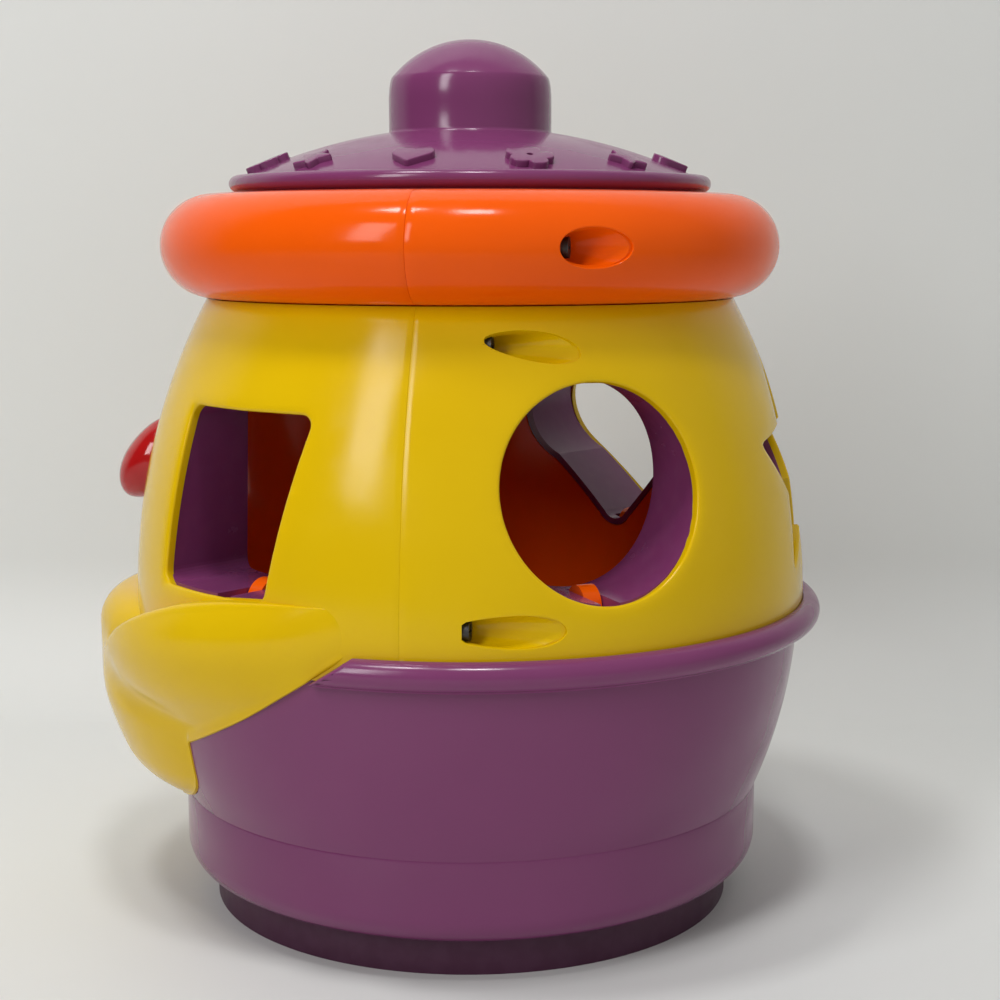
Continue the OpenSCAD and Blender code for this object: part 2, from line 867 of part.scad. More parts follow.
module shell_body() {
    difference() {
        union() {
            rotate_extrude() shell_section();
            intersection() {
                shell_bosses();
                boss_space();
            }
            intersection() {
                for (p = shell_screws_at, s = [-1, 1])
                    translate([s * p[0], p[2] - 3, p[1]])
                        rotate([-90, 0, 0]) cylinder(r = well_r + 1.6, h = 43);
                boss_space();
            }
        }
        shell_bores();
        deck_bores(shell_z - 1, flange_z + 1);
    }
}

module front_shell() {
    color(yellow)
        difference() {
            union() {
                front_half() shell_body();
                apron();
                difference() {
                    front_half() mouth(0);
                    mouth(-wall);
                    base_envelope(seat_gap);
                    translate([0, 0, shell_z - 1]) cylinder(r = barrel_r - wall + 0.6, h = 60);
                }
            }
            hole_prism(SQUARE, 0);
            hole_prism(TRIANGLE, 0);
            nose_frame() translate([0, 0, -wall - 8]) cylinder(r = nose_r + nose_gap, h = wall + 24);
        }
}

// Skirt of the shell behind the smile, over the stepped part of the base
module apron() {
    intersection() {
        translate([0, 0, step_z + 0.4])
            difference() {
                cylinder(r = barrel_r - 0.1, h = shell_z - step_z + 2);
                translate([0, 0, -1]) cylinder(r = barrel_r - wall + 0.1, h = 40);
            }
        jaw_space(2 * seat_gap);
    }
}

module back_shell() {
    color(yellow)
        difference() {
            back_half() shell_body();
            hole_prism(CIRCLE, 0);
            hole_prism(STAR, 0);
            hole_prism(HEART, 0);
        }
}

module shell_screws() {
    color(steel)
        for (p = shell_screws_at, s = [-1, 1])
            translate([s * p[0], p[2], p[1]])
                rotate([90, 0, 0]) screw(p[2] + shell_screw_len - 4);
}

module deck_screws() {
    color(steel)
        at_deck(ledge_z) screw(ledge_t + 2 * flange_t + 4);
}

module cookie_bin() {
    color(orange)
        difference() {
            union() {
                rotate_extrude() {
                    band(bin_in_r, bin_r, bin_z, neck_z);
                    band(0, bin_r, bin_z, bin_z + bin_wall);
                    band(bin_in_r, bin_r + bin_flange, flange_z, flange_z + flange_t);
                }
                at_deck(flange_z) cylinder(r = boss_r, h = flange_t + 6);
            }
            deck_bores(flange_z - 1, flange_z + flange_t + 5);
            for (i = [0 : 4]) hole_prism(i, chute_wall + chute_gap);
        }
}

// Lever cradle under a chute: two ears and a shelf for the switch
module cradle(i) {
    at_hole(i)
        translate([0, -floor_drop[i], 0])
            for (s = [-1, 1]) {
                translate([s * (lever_t / 2 + ear_gap + ear_t / 2), 0, 0]) {
                    translate([-ear_t / 2, -switch_top - switch_h - shelf_t, nub_at - 6])
                        cube([ear_t, switch_top + switch_h + shelf_t + 2, pin_at - nub_at + 9]);
                }
                translate([-lever_t / 2 - ear_gap - ear_t, -switch_top - switch_h - shelf_t, nub_at - 6])
                    cube([lever_t + 2 * (ear_gap + ear_t), shelf_t, 12]);
            }
}

module pin_bore(i) {
    at_hole(i)
        translate([0, -floor_drop[i] - hub_drop, pin_at])
            rotate([0, 90, 0])
                cylinder(r = pin_r + pin_gap, h = 40, center = true);
}

module chute(i) {
    color(purple)
        difference() {
            intersection() {
                union() {
                    hole_prism(i, chute_wall);
                    cradle(i);
                }
                sleeve_space(bin_in_r);
            }
            hole_prism(i, 0);
            pin_bore(i);
            at_hole(i)
                translate([-lever_t / 2 - ear_gap, -floor_drop[i] - switch_top - switch_h,
                           nub_at - nub_r - 0.8])
                    cube([lever_t + 2 * ear_gap, switch_top + switch_h + nub_rise + 0.6,
                          pin_at - nub_at + 40]);
        }
    color(purple)
        intersection() {
            difference() {
                hole_prism(i, chute_wall + chute_lip);
                hole_prism(i, chute_wall - e);
            }
            rotate_extrude() band(bin_r + seat_gap, bin_r + seat_gap + 1.6, flange_z, neck_z);
        }
}

module square_chute() { chute(SQUARE); }
module circle_chute() { chute(CIRCLE); }
module star_chute() { chute(STAR); }
module heart_chute() { chute(HEART); }
module triangle_chute() { chute(TRIANGLE); }

// Trigger lever: hub on the pin, arm and round nub; x runs outward, y up
module lever_section() {
    difference() {
        union() {
            translate([pin_at, -hub_drop]) circle(hub_r);
            translate([nub_at, -arm_low]) square([pin_at - nub_at, arm_low - arm_top]);
            intersection() {
                translate([nub_at, nub_rise - nub_r]) circle(nub_r);
                translate([nub_at - nub_r, -arm_low]) square([2 * nub_r, arm_low + nub_rise + 1]);
            }
        }
        translate([pin_at, -hub_drop]) circle(pin_r + pin_gap);
    }
}

module lever(i) {
    color(orange)
        at_hole(i)
            translate([lever_t / 2, -floor_drop[i], 0])
                rotate([0, -90, 0])
                    linear_extrude(lever_t) lever_section();
}

module square_lever() { lever(SQUARE); }
module circle_lever() { lever(CIRCLE); }
module star_lever() { lever(STAR); }
module heart_lever() { lever(HEART); }
module triangle_lever() { lever(TRIANGLE); }

module lever_pins() {
    color(steel)
        for (i = [0 : 4])
            at_hole(i)
                translate([0, -floor_drop[i] - hub_drop, pin_at])
                    rotate([0, 90, 0])
                        cylinder(r = pin_r, h = lever_t + 2 * (ear_gap + ear_t), center = true);
}

module lever_switches() {
    color(black)
        for (i = [0 : 4])
            at_hole(i)
                translate([0, -floor_drop[i] - switch_top - switch_h, nub_at]) {
                    translate([-lever_t / 2 + 0.1, 0, -switch_w / 2])
                        cube([lever_t - 0.2, switch_h - 0.5, switch_w]);
                    translate([0, switch_h - 0.5 - e, 0])
                        rotate([-90, 0, 0]) cylinder(r = 1.5, h = 0.5);
                }
}

// Places children on the nose's axis: z runs outward, origin on the shell's face
module nose_frame() {
    translate([0, -nose_y, nose_z])
        rotate([90 - nose_tilt, 0, 0])
            children();
}

module nose_button() {
    color(red)
        nose_frame()
            rotate_extrude()
                difference() {
                    union() {
                        intersection() {
                            translate([0, nose_neck + nose_h - nose_ball_r]) circle(nose_ball_r);
                            band(0, nose_r, nose_neck - e, nose_neck + nose_h);
                        }
                        band(0, nose_r, nose_flange_u - nose_flange_t, nose_neck);
                        band(0, nose_flange_r, nose_flange_u - nose_flange_t, nose_flange_u);
                        band(0, nose_stem_r, nose_stem_u, 0);
                    }
                    band(nose_stem_r, nose_r - nose_wall, nose_flange_u - nose_flange_t - 1, nose_roof_u);
                }
}

module nose_bracket() {
    back = nose_switch_u - nose_switch_h;
    color(grey)
        intersection() {
            nose_frame()
                difference() {
                    rotate_extrude() {
                        band(0, nose_cup_r + 2, nose_back_u - nose_plate_t, nose_back_u);
                        band(nose_cup_r, nose_cup_r + 2, nose_back_u - e, 4);
                        band(0, nose_switch_w * 0.75 + 2, back - 1.6, nose_back_u - e);
                    }
                    translate([0, 0, back]) cylinder(r = nose_switch_w * 0.75, h = nose_back_u - nose_plate_t - back);
                    translate([0, 0, back + 1]) cylinder(r = nose_stem_r + 0.3, h = nose_back_u - back);
                }
            rotate_extrude() barrel_section(wall + seat_gap, shell_z);
        }
}

module nose_spring() {
    len = nose_roof_u - nose_back_u - 2 * nose_spring_wire;
    color(steel)
        nose_frame()
            translate([0, 0, nose_back_u + nose_spring_wire])
                linear_extrude(height = len, twist = -360 * nose_spring_turns,
                               slices = 12 * nose_spring_turns, $fn = 12)
                    translate([nose_spring_r, 0]) circle(nose_spring_wire, $fn = 8);
}

module nose_switch() {
    color(black)
        nose_frame()
            translate([0, 0, nose_switch_u - nose_switch_h + seat_gap / 2]) {
                translate([-nose_switch_w / 2, -nose_switch_w / 2, 0])
                    cube([nose_switch_w, nose_switch_w, nose_switch_h - 1]);
                translate([0, 0, nose_switch_h - 1 - e]) cylinder(r = 1.8, h = 0.8);
            }
}

// Section of the fat ring: hollow tube, seat for the lid and shelf on the neck
module ring_section() {
    difference() {
        union() {
            difference() {
                union() {
                    translate([ring_mid_r, ring_z]) circle(ring_tube_r);
                    band(seat_r, ring_mid_r - 6, ring_z + 4, seat_z);
                }
                translate([ring_mid_r, ring_z]) circle(ring_tube_r - ring_wall);
            }
            intersection() {
                translate([ring_mid_r, ring_z]) circle(ring_tube_r - ring_wall / 2);
                band(0, ring_r, neck_z + seat_gap, neck_z + seat_gap + 2);
            }
        }
        band(bin_in_r - 0.3, neck_r + 0.3, ring_z - ring_tube_r - 1, neck_z + seat_gap);
        band(seat_r + ring_wall, ring_mid_r - 2, ring_z + 4, seat_z - ring_wall);
    }
}

module ring_bores() {
    for (s = [-1, 1])
        translate([s * ring_screw_x, ring_screw_y, ring_z])
            rotate([90, 0, 0]) {
                translate([0, 0, -e]) cylinder(r = bore_r, h = ring_screw_y + 12);
                translate([0, 0, -60]) cylinder(r = ring_well_r, h = 60);
            }
}

module ring_body() {
    difference() {
        union() {
            rotate_extrude() ring_section();
            intersection() {
                for (s = [-1, 1])
                    translate([s * ring_screw_x, 60, ring_z])
                        rotate([90, 0, 0]) {
                            cylinder(r = boss_r, h = 60 + 14);
                            cylinder(r = ring_well_r + 1.8, h = 60 - ring_screw_y + 3);
                            translate([-1.2, -neck_drop, 40]) cube([2.4, neck_drop, 34]);
                        }
                rotate_extrude()
                    intersection() {
                        translate([ring_mid_r, ring_z]) circle(ring_tube_r - ring_wall / 2);
                        band(0, ring_r, neck_z + seat_gap + 1, seat_z);
                    }
            }
        }
        ring_bores();
    }
}

module front_ring() {
    color(orange) front_half() ring_body();
}

module back_ring() {
    color(orange) back_half() ring_body();
}

module ring_screws() {
    color(steel)
        for (s = [-1, 1])
            translate([s * ring_screw_x, ring_screw_y, ring_z])
                rotate([90, 0, 0]) screw(ring_screw_y + 10);
}

// Half section under the lid's dome, drawn in by an inset
module dome_section(inset) {
    intersection() {
        translate([0, dome_z - dome_r]) circle(dome_r - inset, $fn = 360);
        band(0, lid_r, plug_z - 40, dome_z + 1);
    }
}

// Raised shapes on the dome, in turn: flower, star, heart
module charm(kind) {
    if (kind == 0) {
        circle(charm_r * 0.6);
        for (i = [0 : 4])
            rotate(72 * i) translate([charm_r * 0.62, 0]) circle(charm_r * 0.46);
    }
    if (kind == 1) star(charm_r * 1.06, charm_r * 0.53, 0);
    if (kind == 2) heart(charm_r * 1.1, 0);
}

module charms() {
    tilt = asin(charm_ring_r / dome_r);
    for (i = [0 : charm_count - 1])
        rotate([0, 0, charm_turn + 360 / charm_count * i])
            translate([0, 0, dome_z - dome_r])
                rotate([tilt, 0, 0])
                    translate([0, 0, dome_r - 1.2])
                        linear_extrude(charm_h + 1.2) charm(i % 3);
}

lid_posts = [30, 150, 270];
lid_post_at = 46;

module lid_dome() {
    bead_mid = lid_r - lid_bead_r;
    bead_z = seat_z + lid_bead_r + 2.6;
    color(purple)
        difference() {
            union() {
                rotate_extrude()
                    difference() {
                        union() {
                            intersection() {
                                dome_section(0);
                                band(0, bead_mid, bead_z - 4, dome_z + 1);
                            }
                            translate([bead_mid, bead_z]) circle(lid_bead_r);
                            band(bead_mid - 3.6, bead_mid - 0.4, seat_z + seat_gap, bead_z);
                        }
                        intersection() {
                            dome_section(lid_wall);
                            band(0, bead_mid - 3.6, seat_z - 1, dome_z);
                        }
                    }
                charms();
                intersection() {
                    for (a = lid_posts)
                        rotate([0, 0, a])
                            translate([lid_post_at, 0, plug_z + lid_wall + seat_gap])
                                cylinder(r = boss_r, h = dome_z - plug_z);
                    rotate_extrude() dome_section(lid_wall / 2);
                }
            }
            for (a = lid_posts)
                rotate([0, 0, a])
                    translate([lid_post_at, 0, plug_z]) cylinder(r = bore_r, h = 14);
            translate([0, 0, dome_z - 20]) cylinder(r = bore_r, h = 40);
        }
}

module lid_knob() {
    dimple_r = 1.2;
    color(purple)
        difference() {
            intersection() {
                rotate_extrude()
                    intersection() {
                        translate([0, knob_z - knob_top_r]) circle(knob_top_r);
                        band(0, knob_r, dome_z - 10, knob_z);
                    }
                union() {
                    difference() {
                        translate([0, 0, dome_z - 9]) cylinder(r = knob_r + 1, h = knob_rise + 12);
                        rotate_extrude()
                            intersection() {
                                translate([0, knob_z - knob_top_r]) circle(knob_top_r - lid_wall);
                                band(0, knob_r - lid_wall, dome_z - 10, knob_z);
                            }
                    }
                    translate([0, 0, dome_z - 9]) cylinder(r = boss_r + 1, h = knob_rise + 8);
                }
            }
            rotate_extrude()
                intersection() {
                    translate([0, dome_z - dome_r]) circle(dome_r + e, $fn = 360);
                    band(0, knob_r + 2, dome_z - 12, dome_z + 1);
                }
            translate([0, 0, dome_z - 1]) cylinder(r = bore_r, h = 15);
            translate([0, 0, knob_z - 1.4]) cylinder(r = dimple_r, h = 2);
        }
}

module knob_screw() {
    color(steel)
        translate([0, 0, dome_z - lid_wall - seat_gap / 4]) screw(lid_wall + 12);
}

module lid_plug() {
    color(purple)
        difference() {
            intersection() {
                rotate_extrude() {
                    band(0, plug_r, plug_z, plug_z + lid_wall);
                    band(plug_r - lid_wall, plug_r, plug_z, dome_z);
                }
                rotate_extrude() dome_section(lid_wall + seat_gap);
            }
            for (a = lid_posts)
                rotate([0, 0, a])
                    translate([lid_post_at, 0, plug_z - 1]) cylinder(r = bore_r, h = lid_wall + 2);
        }
}

module lid_screws() {
    color(steel)
        for (a = lid_posts)
            rotate([0, 0, a])
                translate([lid_post_at, 0, plug_z]) screw(12);
}

base_tub();
base_plate();
base_screws();
battery_door();
battery_door_screw();
batteries();
battery_contacts();
circuit_board();
board_screws();
speaker();
switch_housing();
power_slider();
front_shell();
back_shell();
shell_screws();
deck_screws();
cookie_bin();
square_chute();
circle_chute();
star_chute();
heart_chute();
triangle_chute();
square_lever();
circle_lever();
star_lever();
heart_lever();
triangle_lever();
lever_pins();
lever_switches();
nose_button();
nose_bracket();
nose_spring();
nose_switch();
front_ring();
back_ring();
ring_screws();
lid_dome();
lid_knob();
knob_screw();
lid_plug();
lid_screws();
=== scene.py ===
import math

import bmesh
import bpy
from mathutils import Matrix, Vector


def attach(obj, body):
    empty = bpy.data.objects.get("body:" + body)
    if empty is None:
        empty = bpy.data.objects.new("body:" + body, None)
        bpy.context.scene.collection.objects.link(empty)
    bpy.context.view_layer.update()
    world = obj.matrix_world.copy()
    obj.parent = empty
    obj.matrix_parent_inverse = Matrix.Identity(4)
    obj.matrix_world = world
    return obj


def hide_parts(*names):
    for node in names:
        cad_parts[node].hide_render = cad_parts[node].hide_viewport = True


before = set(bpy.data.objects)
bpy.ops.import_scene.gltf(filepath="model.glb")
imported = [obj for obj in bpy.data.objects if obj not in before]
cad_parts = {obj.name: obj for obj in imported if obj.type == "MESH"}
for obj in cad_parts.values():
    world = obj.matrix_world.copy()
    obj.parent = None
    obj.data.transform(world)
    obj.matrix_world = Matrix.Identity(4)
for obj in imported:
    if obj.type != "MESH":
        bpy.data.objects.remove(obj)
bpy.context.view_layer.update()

# Sizes of the jar in millimetres, as in its solids
SHELL_Z, SHELL_TOP, RIM_Z = 88.0, 185.7, 95.2
BARREL_R, BARREL_ARC = 103.4, 190.0
RING_Z, RING_R, TUBE_R = 201.2, 78.7, 15.3
SEAT_Z, DOME_Z, KNOB_Z = 214.6, 236.9, 262.9
DOME_R, LID_R, BEAD_R = 163.0, 73.2, 2.4
NOSE_Z, NOSE_R, NOSE_H, NOSE_NECK, NOSE_DROOP = 133.2, 13.2, 14.2, 3.0, 6.0
KNOB_R, KNOB_CAP_R, KNOB_EDGE_R = 24.7, 30.5, 5.5
WALL, RING_WALL, HOLE_LIP_R = 2.6, 2.2, 1.2

# Where each hole sits: degrees from the front towards +X, and its height
SQUARE_AT, CIRCLE_AT, STAR_AT = (58, 132.0), (122, 137.0), (180, 134.5)
HEART_AT, TRIANGLE_AT, NOSE_AT = (-122, 131.5), (-58, 123.5), (0, NOSE_Z)
CIRCLE_R, STAR_TIP, STAR_NOTCH, STAR_BLUNT = 29.0, 34.5, 17.25, 1.5
HEART_SIDE, HEART_TIP, TRIANGLE_IN_R, TRIANGLE_LEAN = 37.0, 0.14, 16.7, 8.5

# Screw wells: bore, then (x, z, y of the seat) of each
SHELL_BORE, RING_BORE = 4.4, 5.4
SHELL_WELLS = ((78.8, 175.2, 18.5), (98.4, 102.5, 16.0))
RING_WELL = (80.0, RING_Z, 39.0)


# Hand tools

def mm(*xyz):
    return Vector(xyz) * 0.001


def put_down():
    """Leaves edit mode with nothing selected."""
    if bpy.context.object and bpy.context.object.mode != "OBJECT":
        bpy.ops.object.mode_set(mode="OBJECT")
    bpy.ops.object.select_all(action="DESELECT")


def take(piece, mode="VERT"):
    """Opens one piece in edit mode with none of its mesh selected."""
    put_down()
    bpy.context.view_layer.objects.active = piece
    piece.select_set(True)
    bpy.ops.object.mode_set(mode="EDIT")
    bpy.ops.mesh.select_mode(type=mode)
    bpy.ops.mesh.select_all(action="DESELECT")
    return bmesh.from_edit_mesh(piece.data)


def pick(piece, what, test):
    """Selects the vertices, edges or faces that pass a test."""
    mesh = bmesh.from_edit_mesh(piece.data)
    for part in getattr(mesh, what):
        if test(part):
            part.select_set(True)
    mesh.select_flush_mode()
    bmesh.update_edit_mesh(piece.data)


def mid(part):
    """Middle of an edge or face, in millimetres."""
    return sum((v.co for v in part.verts), Vector()) / len(part.verts) * 1000


def first_point(name, r, z):
    """Starts a piece as one point on its section."""
    put_down()
    bpy.ops.mesh.primitive_plane_add(size=0.01)
    piece = bpy.context.object
    piece.name = piece.data.name = name
    take(piece)
    bpy.ops.mesh.select_all(action="SELECT")
    bpy.ops.mesh.merge(type="CENTER")
    bpy.ops.transform.translate(value=mm(r, 0, z))
    return piece


def draw_section(name, points, closed=True):
    """Draws a half section point by point in the XZ plane."""
    piece = first_point(name, *points[0])
    for (r0, z0), (r1, z1) in zip(points, points[1:]):
        bpy.ops.mesh.extrude_region_move(
            TRANSFORM_OT_translate={"value": mm(r1 - r0, 0, z1 - z0)})
    if closed:
        bpy.ops.mesh.select_all(action="SELECT")
        bpy.ops.mesh.edge_face_add()
        bpy.ops.mesh.delete(type="ONLY_FACE")
    return piece


def soften_corners(piece, corners):
    """Rounds corners of the section: (r, z, radius) for each."""
    for r, z, radius in corners:
        bpy.ops.mesh.select_all(action="DESELECT")
        pick(piece, "verts", lambda v: (v.co - mm(r, 0, z)).length < 0.02e-3)
        bpy.ops.mesh.bevel(offset=radius * 0.001, affect="VERTICES", segments=5, profile=0.5)


def turn(piece, degrees=360, steps=180):
    """Spins the section about the jar's axis and closes it."""
    bpy.ops.mesh.select_all(action="SELECT")
    bpy.ops.mesh.spin(steps=steps, angle=math.radians(degrees), center=(0, 0, 0), axis=(0, 0, 1))
    bpy.ops.mesh.select_all(action="SELECT")
    bpy.ops.mesh.remove_doubles(threshold=1e-6)
    bpy.ops.mesh.dissolve_degenerate(threshold=1e-6)
    bpy.ops.mesh.select_all(action="SELECT")
    bpy.ops.mesh.normals_make_consistent(inside=False)


def arc(cr, cz, radius, a0, a1, steps):
    """Points of an arc of the section, angles in degrees from +R."""
    out = []
    for i in range(steps + 1):
        a = math.radians(a0 + (a1 - a0) * i / steps)
        out.append((cr + radius * math.cos(a), cz + radius * math.sin(a)))
    return out


def apply_all(piece):
    put_down()
    bpy.context.view_layer.objects.active = piece
    piece.select_set(True)
    for modifier in list(piece.modifiers):
        bpy.ops.object.modifier_apply(modifier=modifier.name)


def settle(piece, angle=35):
    """Puts a piece's place in its mesh and smooths its faces."""
    put_down()
    bpy.context.view_layer.objects.active = piece
    piece.select_set(True)
    bpy.ops.object.transform_apply(location=True, rotation=True, scale=True)
    bpy.ops.object.shade_smooth_by_angle(angle=math.radians(angle))
    put_down()
    return piece


def barrel_at(z):
    return BARREL_R - BARREL_ARC + math.sqrt(BARREL_ARC ** 2 - (z - RIM_Z) ** 2)


# Finishes

def value_noise(tree, coords, scale, detail, rough=0.5):
    noise = tree.nodes.new("ShaderNodeTexNoise")
    noise.inputs["Scale"].default_value = scale
    noise.inputs["Detail"].default_value = detail
    noise.inputs["Roughness"].default_value = rough
    tree.links.new(coords, noise.inputs["Vector"])
    return noise


def ramp(tree, source, low, high):
    node = tree.nodes.new("ShaderNodeMapRange")
    node.inputs["From Min"].default_value = low
    node.inputs["From Max"].default_value = high
    node.interpolation_type = "SMOOTHSTEP"
    tree.links.new(source, node.inputs["Value"])
    return node.outputs["Result"]


def moulded_skin_group():
    """Moulded plastic: cloudy colour, handling smears, hairline scuffs and rubbed edges."""
    tree = bpy.data.node_groups.new("moulded_skin", "ShaderNodeTree")
    socket = tree.interface.new_socket
    socket("Colour", in_out="INPUT", socket_type="NodeSocketColor")
    socket("Deep Colour", in_out="INPUT", socket_type="NodeSocketColor")
    socket("Rubbed Colour", in_out="INPUT", socket_type="NodeSocketColor")
    socket("Gloss Low", in_out="INPUT", socket_type="NodeSocketFloat")
    socket("Gloss High", in_out="INPUT", socket_type="NodeSocketFloat")
    socket("Wear", in_out="INPUT", socket_type="NodeSocketFloat")
    socket("Colour", in_out="OUTPUT", socket_type="NodeSocketColor")
    socket("Roughness", in_out="OUTPUT", socket_type="NodeSocketFloat")
    socket("Height", in_out="OUTPUT", socket_type="NodeSocketFloat")
    given = tree.nodes.new("NodeGroupInput")
    result = tree.nodes.new("NodeGroupOutput")
    coords = tree.nodes.new("ShaderNodeTexCoord").outputs["Object"]
    link = tree.links.new

    def maths(kind, a, b):
        node = tree.nodes.new("ShaderNodeMath")
        node.operation = kind
        for i, x in enumerate((a, b)):
            if isinstance(x, (int, float)):
                node.inputs[i].default_value = x
            else:
                link(x, node.inputs[i])
        return node.outputs[0]

    def mixed(factor, a, b):
        node = tree.nodes.new("ShaderNodeMix")
        node.data_type = "RGBA"
        link(factor, node.inputs["Factor"])
        link(a, node.inputs["A"])
        link(b, node.inputs["B"])
        return node.outputs["Result"]

    cloud = ramp(tree, value_noise(tree, coords, 16, 3).outputs["Fac"], 0.35, 0.70)
    smear = ramp(tree, value_noise(tree, coords, 42, 5, 0.6).outputs["Fac"], 0.42, 0.72)
    orange_peel = value_noise(tree, coords, 520, 2).outputs["Fac"]
    pits = value_noise(tree, coords, 2600, 1).outputs["Fac"]

    stretched = tree.nodes.new("ShaderNodeMapping")
    stretched.inputs["Rotation"].default_value = (0.5, 0.35, 0.9)
    stretched.inputs["Scale"].default_value = (1.0, 14.0, 1.0)
    link(coords, stretched.inputs["Vector"])
    hair = value_noise(tree, stretched.outputs["Vector"], 60, 8, 0.75).outputs["Fac"]
    scuff = maths("MULTIPLY", ramp(tree, hair, 0.66, 0.74), smear)

    edge = tree.nodes.new("ShaderNodeNewGeometry").outputs["Pointiness"]
    rubbed = ramp(tree, edge, 0.515, 0.60)
    patchy = ramp(tree, value_noise(tree, coords, 190, 4).outputs["Fac"], 0.40, 0.65)
    rubbed = maths("MULTIPLY", rubbed, patchy)
    wear = maths("MULTIPLY", maths("MAXIMUM", rubbed, maths("MULTIPLY", scuff, 0.5)), given.outputs["Wear"])

    link(mixed(wear, mixed(cloud, given.outputs["Colour"], given.outputs["Deep Colour"]),
               given.outputs["Rubbed Colour"]), result.inputs["Colour"])
    spread = maths("SUBTRACT", given.outputs["Gloss High"], given.outputs["Gloss Low"])
    rough = maths("ADD", given.outputs["Gloss Low"], maths("MULTIPLY", smear, spread))
    link(maths("ADD", rough, maths("MULTIPLY", wear, 0.18)), result.inputs["Roughness"])
    height = maths("ADD", maths("MULTIPLY", orange_peel, 0.6), maths("MULTIPLY", pits, 0.12))
    link(maths("SUBTRACT", height, maths("MULTIPLY", scuff, 0.25)), result.inputs["Height"])
    return tree


SKIN = moulded_skin_group()


def plastic(name, colour, deep, rubbed, gloss=(0.22, 0.34), wear=0.35, bump=0.05, depth=0.0002,
            shine=0.5):
    """A moulded plastic of one colour."""
    material = bpy.data.materials.new(name)
    material.use_nodes = True
    tree = material.node_tree
    shader = tree.nodes["Principled BSDF"]
    skin = tree.nodes.new("ShaderNodeGroup")
    skin.node_tree = SKIN
    skin.inputs["Colour"].default_value = (*colour, 1)
    skin.inputs["Deep Colour"].default_value = (*deep, 1)
    skin.inputs["Rubbed Colour"].default_value = (*rubbed, 1)
    skin.inputs["Gloss Low"].default_value = gloss[0]
    skin.inputs["Gloss High"].default_value = gloss[1]
    skin.inputs["Wear"].default_value = wear
    bumps = tree.nodes.new("ShaderNodeBump")
    bumps.inputs["Strength"].default_value = bump
    bumps.inputs["Distance"].default_value = depth
    link = tree.links.new
    link(skin.outputs["Colour"], shader.inputs["Base Color"])
    link(skin.outputs["Roughness"], shader.inputs["Roughness"])
    link(skin.outputs["Height"], bumps.inputs["Height"])
    link(bumps.outputs["Normal"], shader.inputs["Normal"])
    shader.inputs["IOR"].default_value = 1.5
    shader.inputs["Specular IOR Level"].default_value = shine
    return material


YELLOW = plastic("yellow_plastic", (0.76, 0.49, 0.0008), (0.73, 0.46, 0.0005), (0.80, 0.56, 0.03),
                 gloss=(0.13, 0.24), wear=0.16, shine=0.23)
PURPLE = plastic("purple_plastic", (0.205, 0.042, 0.140), (0.190, 0.038, 0.130), (0.25, 0.08, 0.18),
                 gloss=(0.16, 0.27), wear=0.14, shine=0.4)
# The same purple darkened to about a third, for the foot under the skirt: painted shade for the shadow the
# foot stands in.
PURPLE_PAINTED_SHADE = plastic("purple_painted_shade", (0.066, 0.016, 0.044), (0.056, 0.013, 0.037), (0.10, 0.04, 0.08),
                      gloss=(0.38, 0.52), wear=0.2, shine=0.3)
ORANGE = plastic("orange_plastic", (0.92, 0.108, 0.001), (0.88, 0.098, 0.001), (0.93, 0.18, 0.015),
                 gloss=(0.13, 0.24), wear=0.16, shine=0.17)
RED = plastic("red_plastic", (0.42, 0.003, 0.004), (0.37, 0.002, 0.003), (0.48, 0.03, 0.03),
              gloss=(0.10, 0.18), wear=0.15)
BLACK = plastic("black_plastic", (0.012, 0.012, 0.013), (0.008, 0.008, 0.009), (0.05, 0.05, 0.05),
                gloss=(0.45, 0.6))
GREY = plastic("grey_plastic", (0.58, 0.56, 0.52), (0.52, 0.50, 0.46), (0.68, 0.66, 0.62),
               gloss=(0.4, 0.55))


def screw_steel():
    """Blackened steel with fine turning marks."""
    material = bpy.data.materials.new("screw_steel")
    material.use_nodes = True
    tree = material.node_tree
    shader = tree.nodes["Principled BSDF"]
    coords = tree.nodes.new("ShaderNodeTexCoord").outputs["Object"]
    marks = value_noise(tree, coords, 1800, 3)
    stain = value_noise(tree, coords, 240, 4)
    tone = tree.nodes.new("ShaderNodeValToRGB")
    tone.color_ramp.elements[0].color = (0.045, 0.044, 0.043, 1)
    tone.color_ramp.elements[1].color = (0.11, 0.105, 0.10, 1)
    tree.links.new(stain.outputs["Fac"], tone.inputs["Fac"])
    tree.links.new(tone.outputs["Color"], shader.inputs["Base Color"])
    tree.links.new(ramp(tree, marks.outputs["Fac"], -0.6, 1.6), shader.inputs["Roughness"])
    bumps = tree.nodes.new("ShaderNodeBump")
    bumps.inputs["Strength"].default_value = 0.12
    bumps.inputs["Distance"].default_value = 0.0001
    tree.links.new(marks.outputs["Fac"], bumps.inputs["Height"])
    tree.links.new(bumps.outputs["Normal"], shader.inputs["Normal"])
    shader.inputs["Metallic"].default_value = 1.0
    return material


def two_tone(name, first, second, scale, rough):
    """A plain finish that shifts between two tones, for the pieces inside."""
    material = bpy.data.materials.new(name)
    material.use_nodes = True
    tree = material.node_tree
    shader = tree.nodes["Principled BSDF"]
    coords = tree.nodes.new("ShaderNodeTexCoord").outputs["Object"]
    noise = value_noise(tree, coords, scale, 4)
    tone = tree.nodes.new("ShaderNodeValToRGB")
    tone.color_ramp.elements[0].position = 0.42
    tone.color_ramp.elements[0].color = (*first, 1)
    tone.color_ramp.elements[1].position = 0.58
    tone.color_ramp.elements[1].color = (*second, 1)
    tree.links.new(noise.outputs["Fac"], tone.inputs["Fac"])
    tree.links.new(tone.outputs["Color"], shader.inputs["Base Color"])
    tree.links.new(ramp(tree, noise.outputs["Fac"], 0.5 - rough, 1.5 - rough), shader.inputs["Roughness"])
    return material


STEEL = screw_steel()
CELL = two_tone("battery_sleeve", (0.02, 0.02, 0.022), (0.05, 0.045, 0.03), 90, 0.35)
BOARD = two_tone("board_green", (0.010, 0.085, 0.030), (0.018, 0.13, 0.045), 380, 0.4)
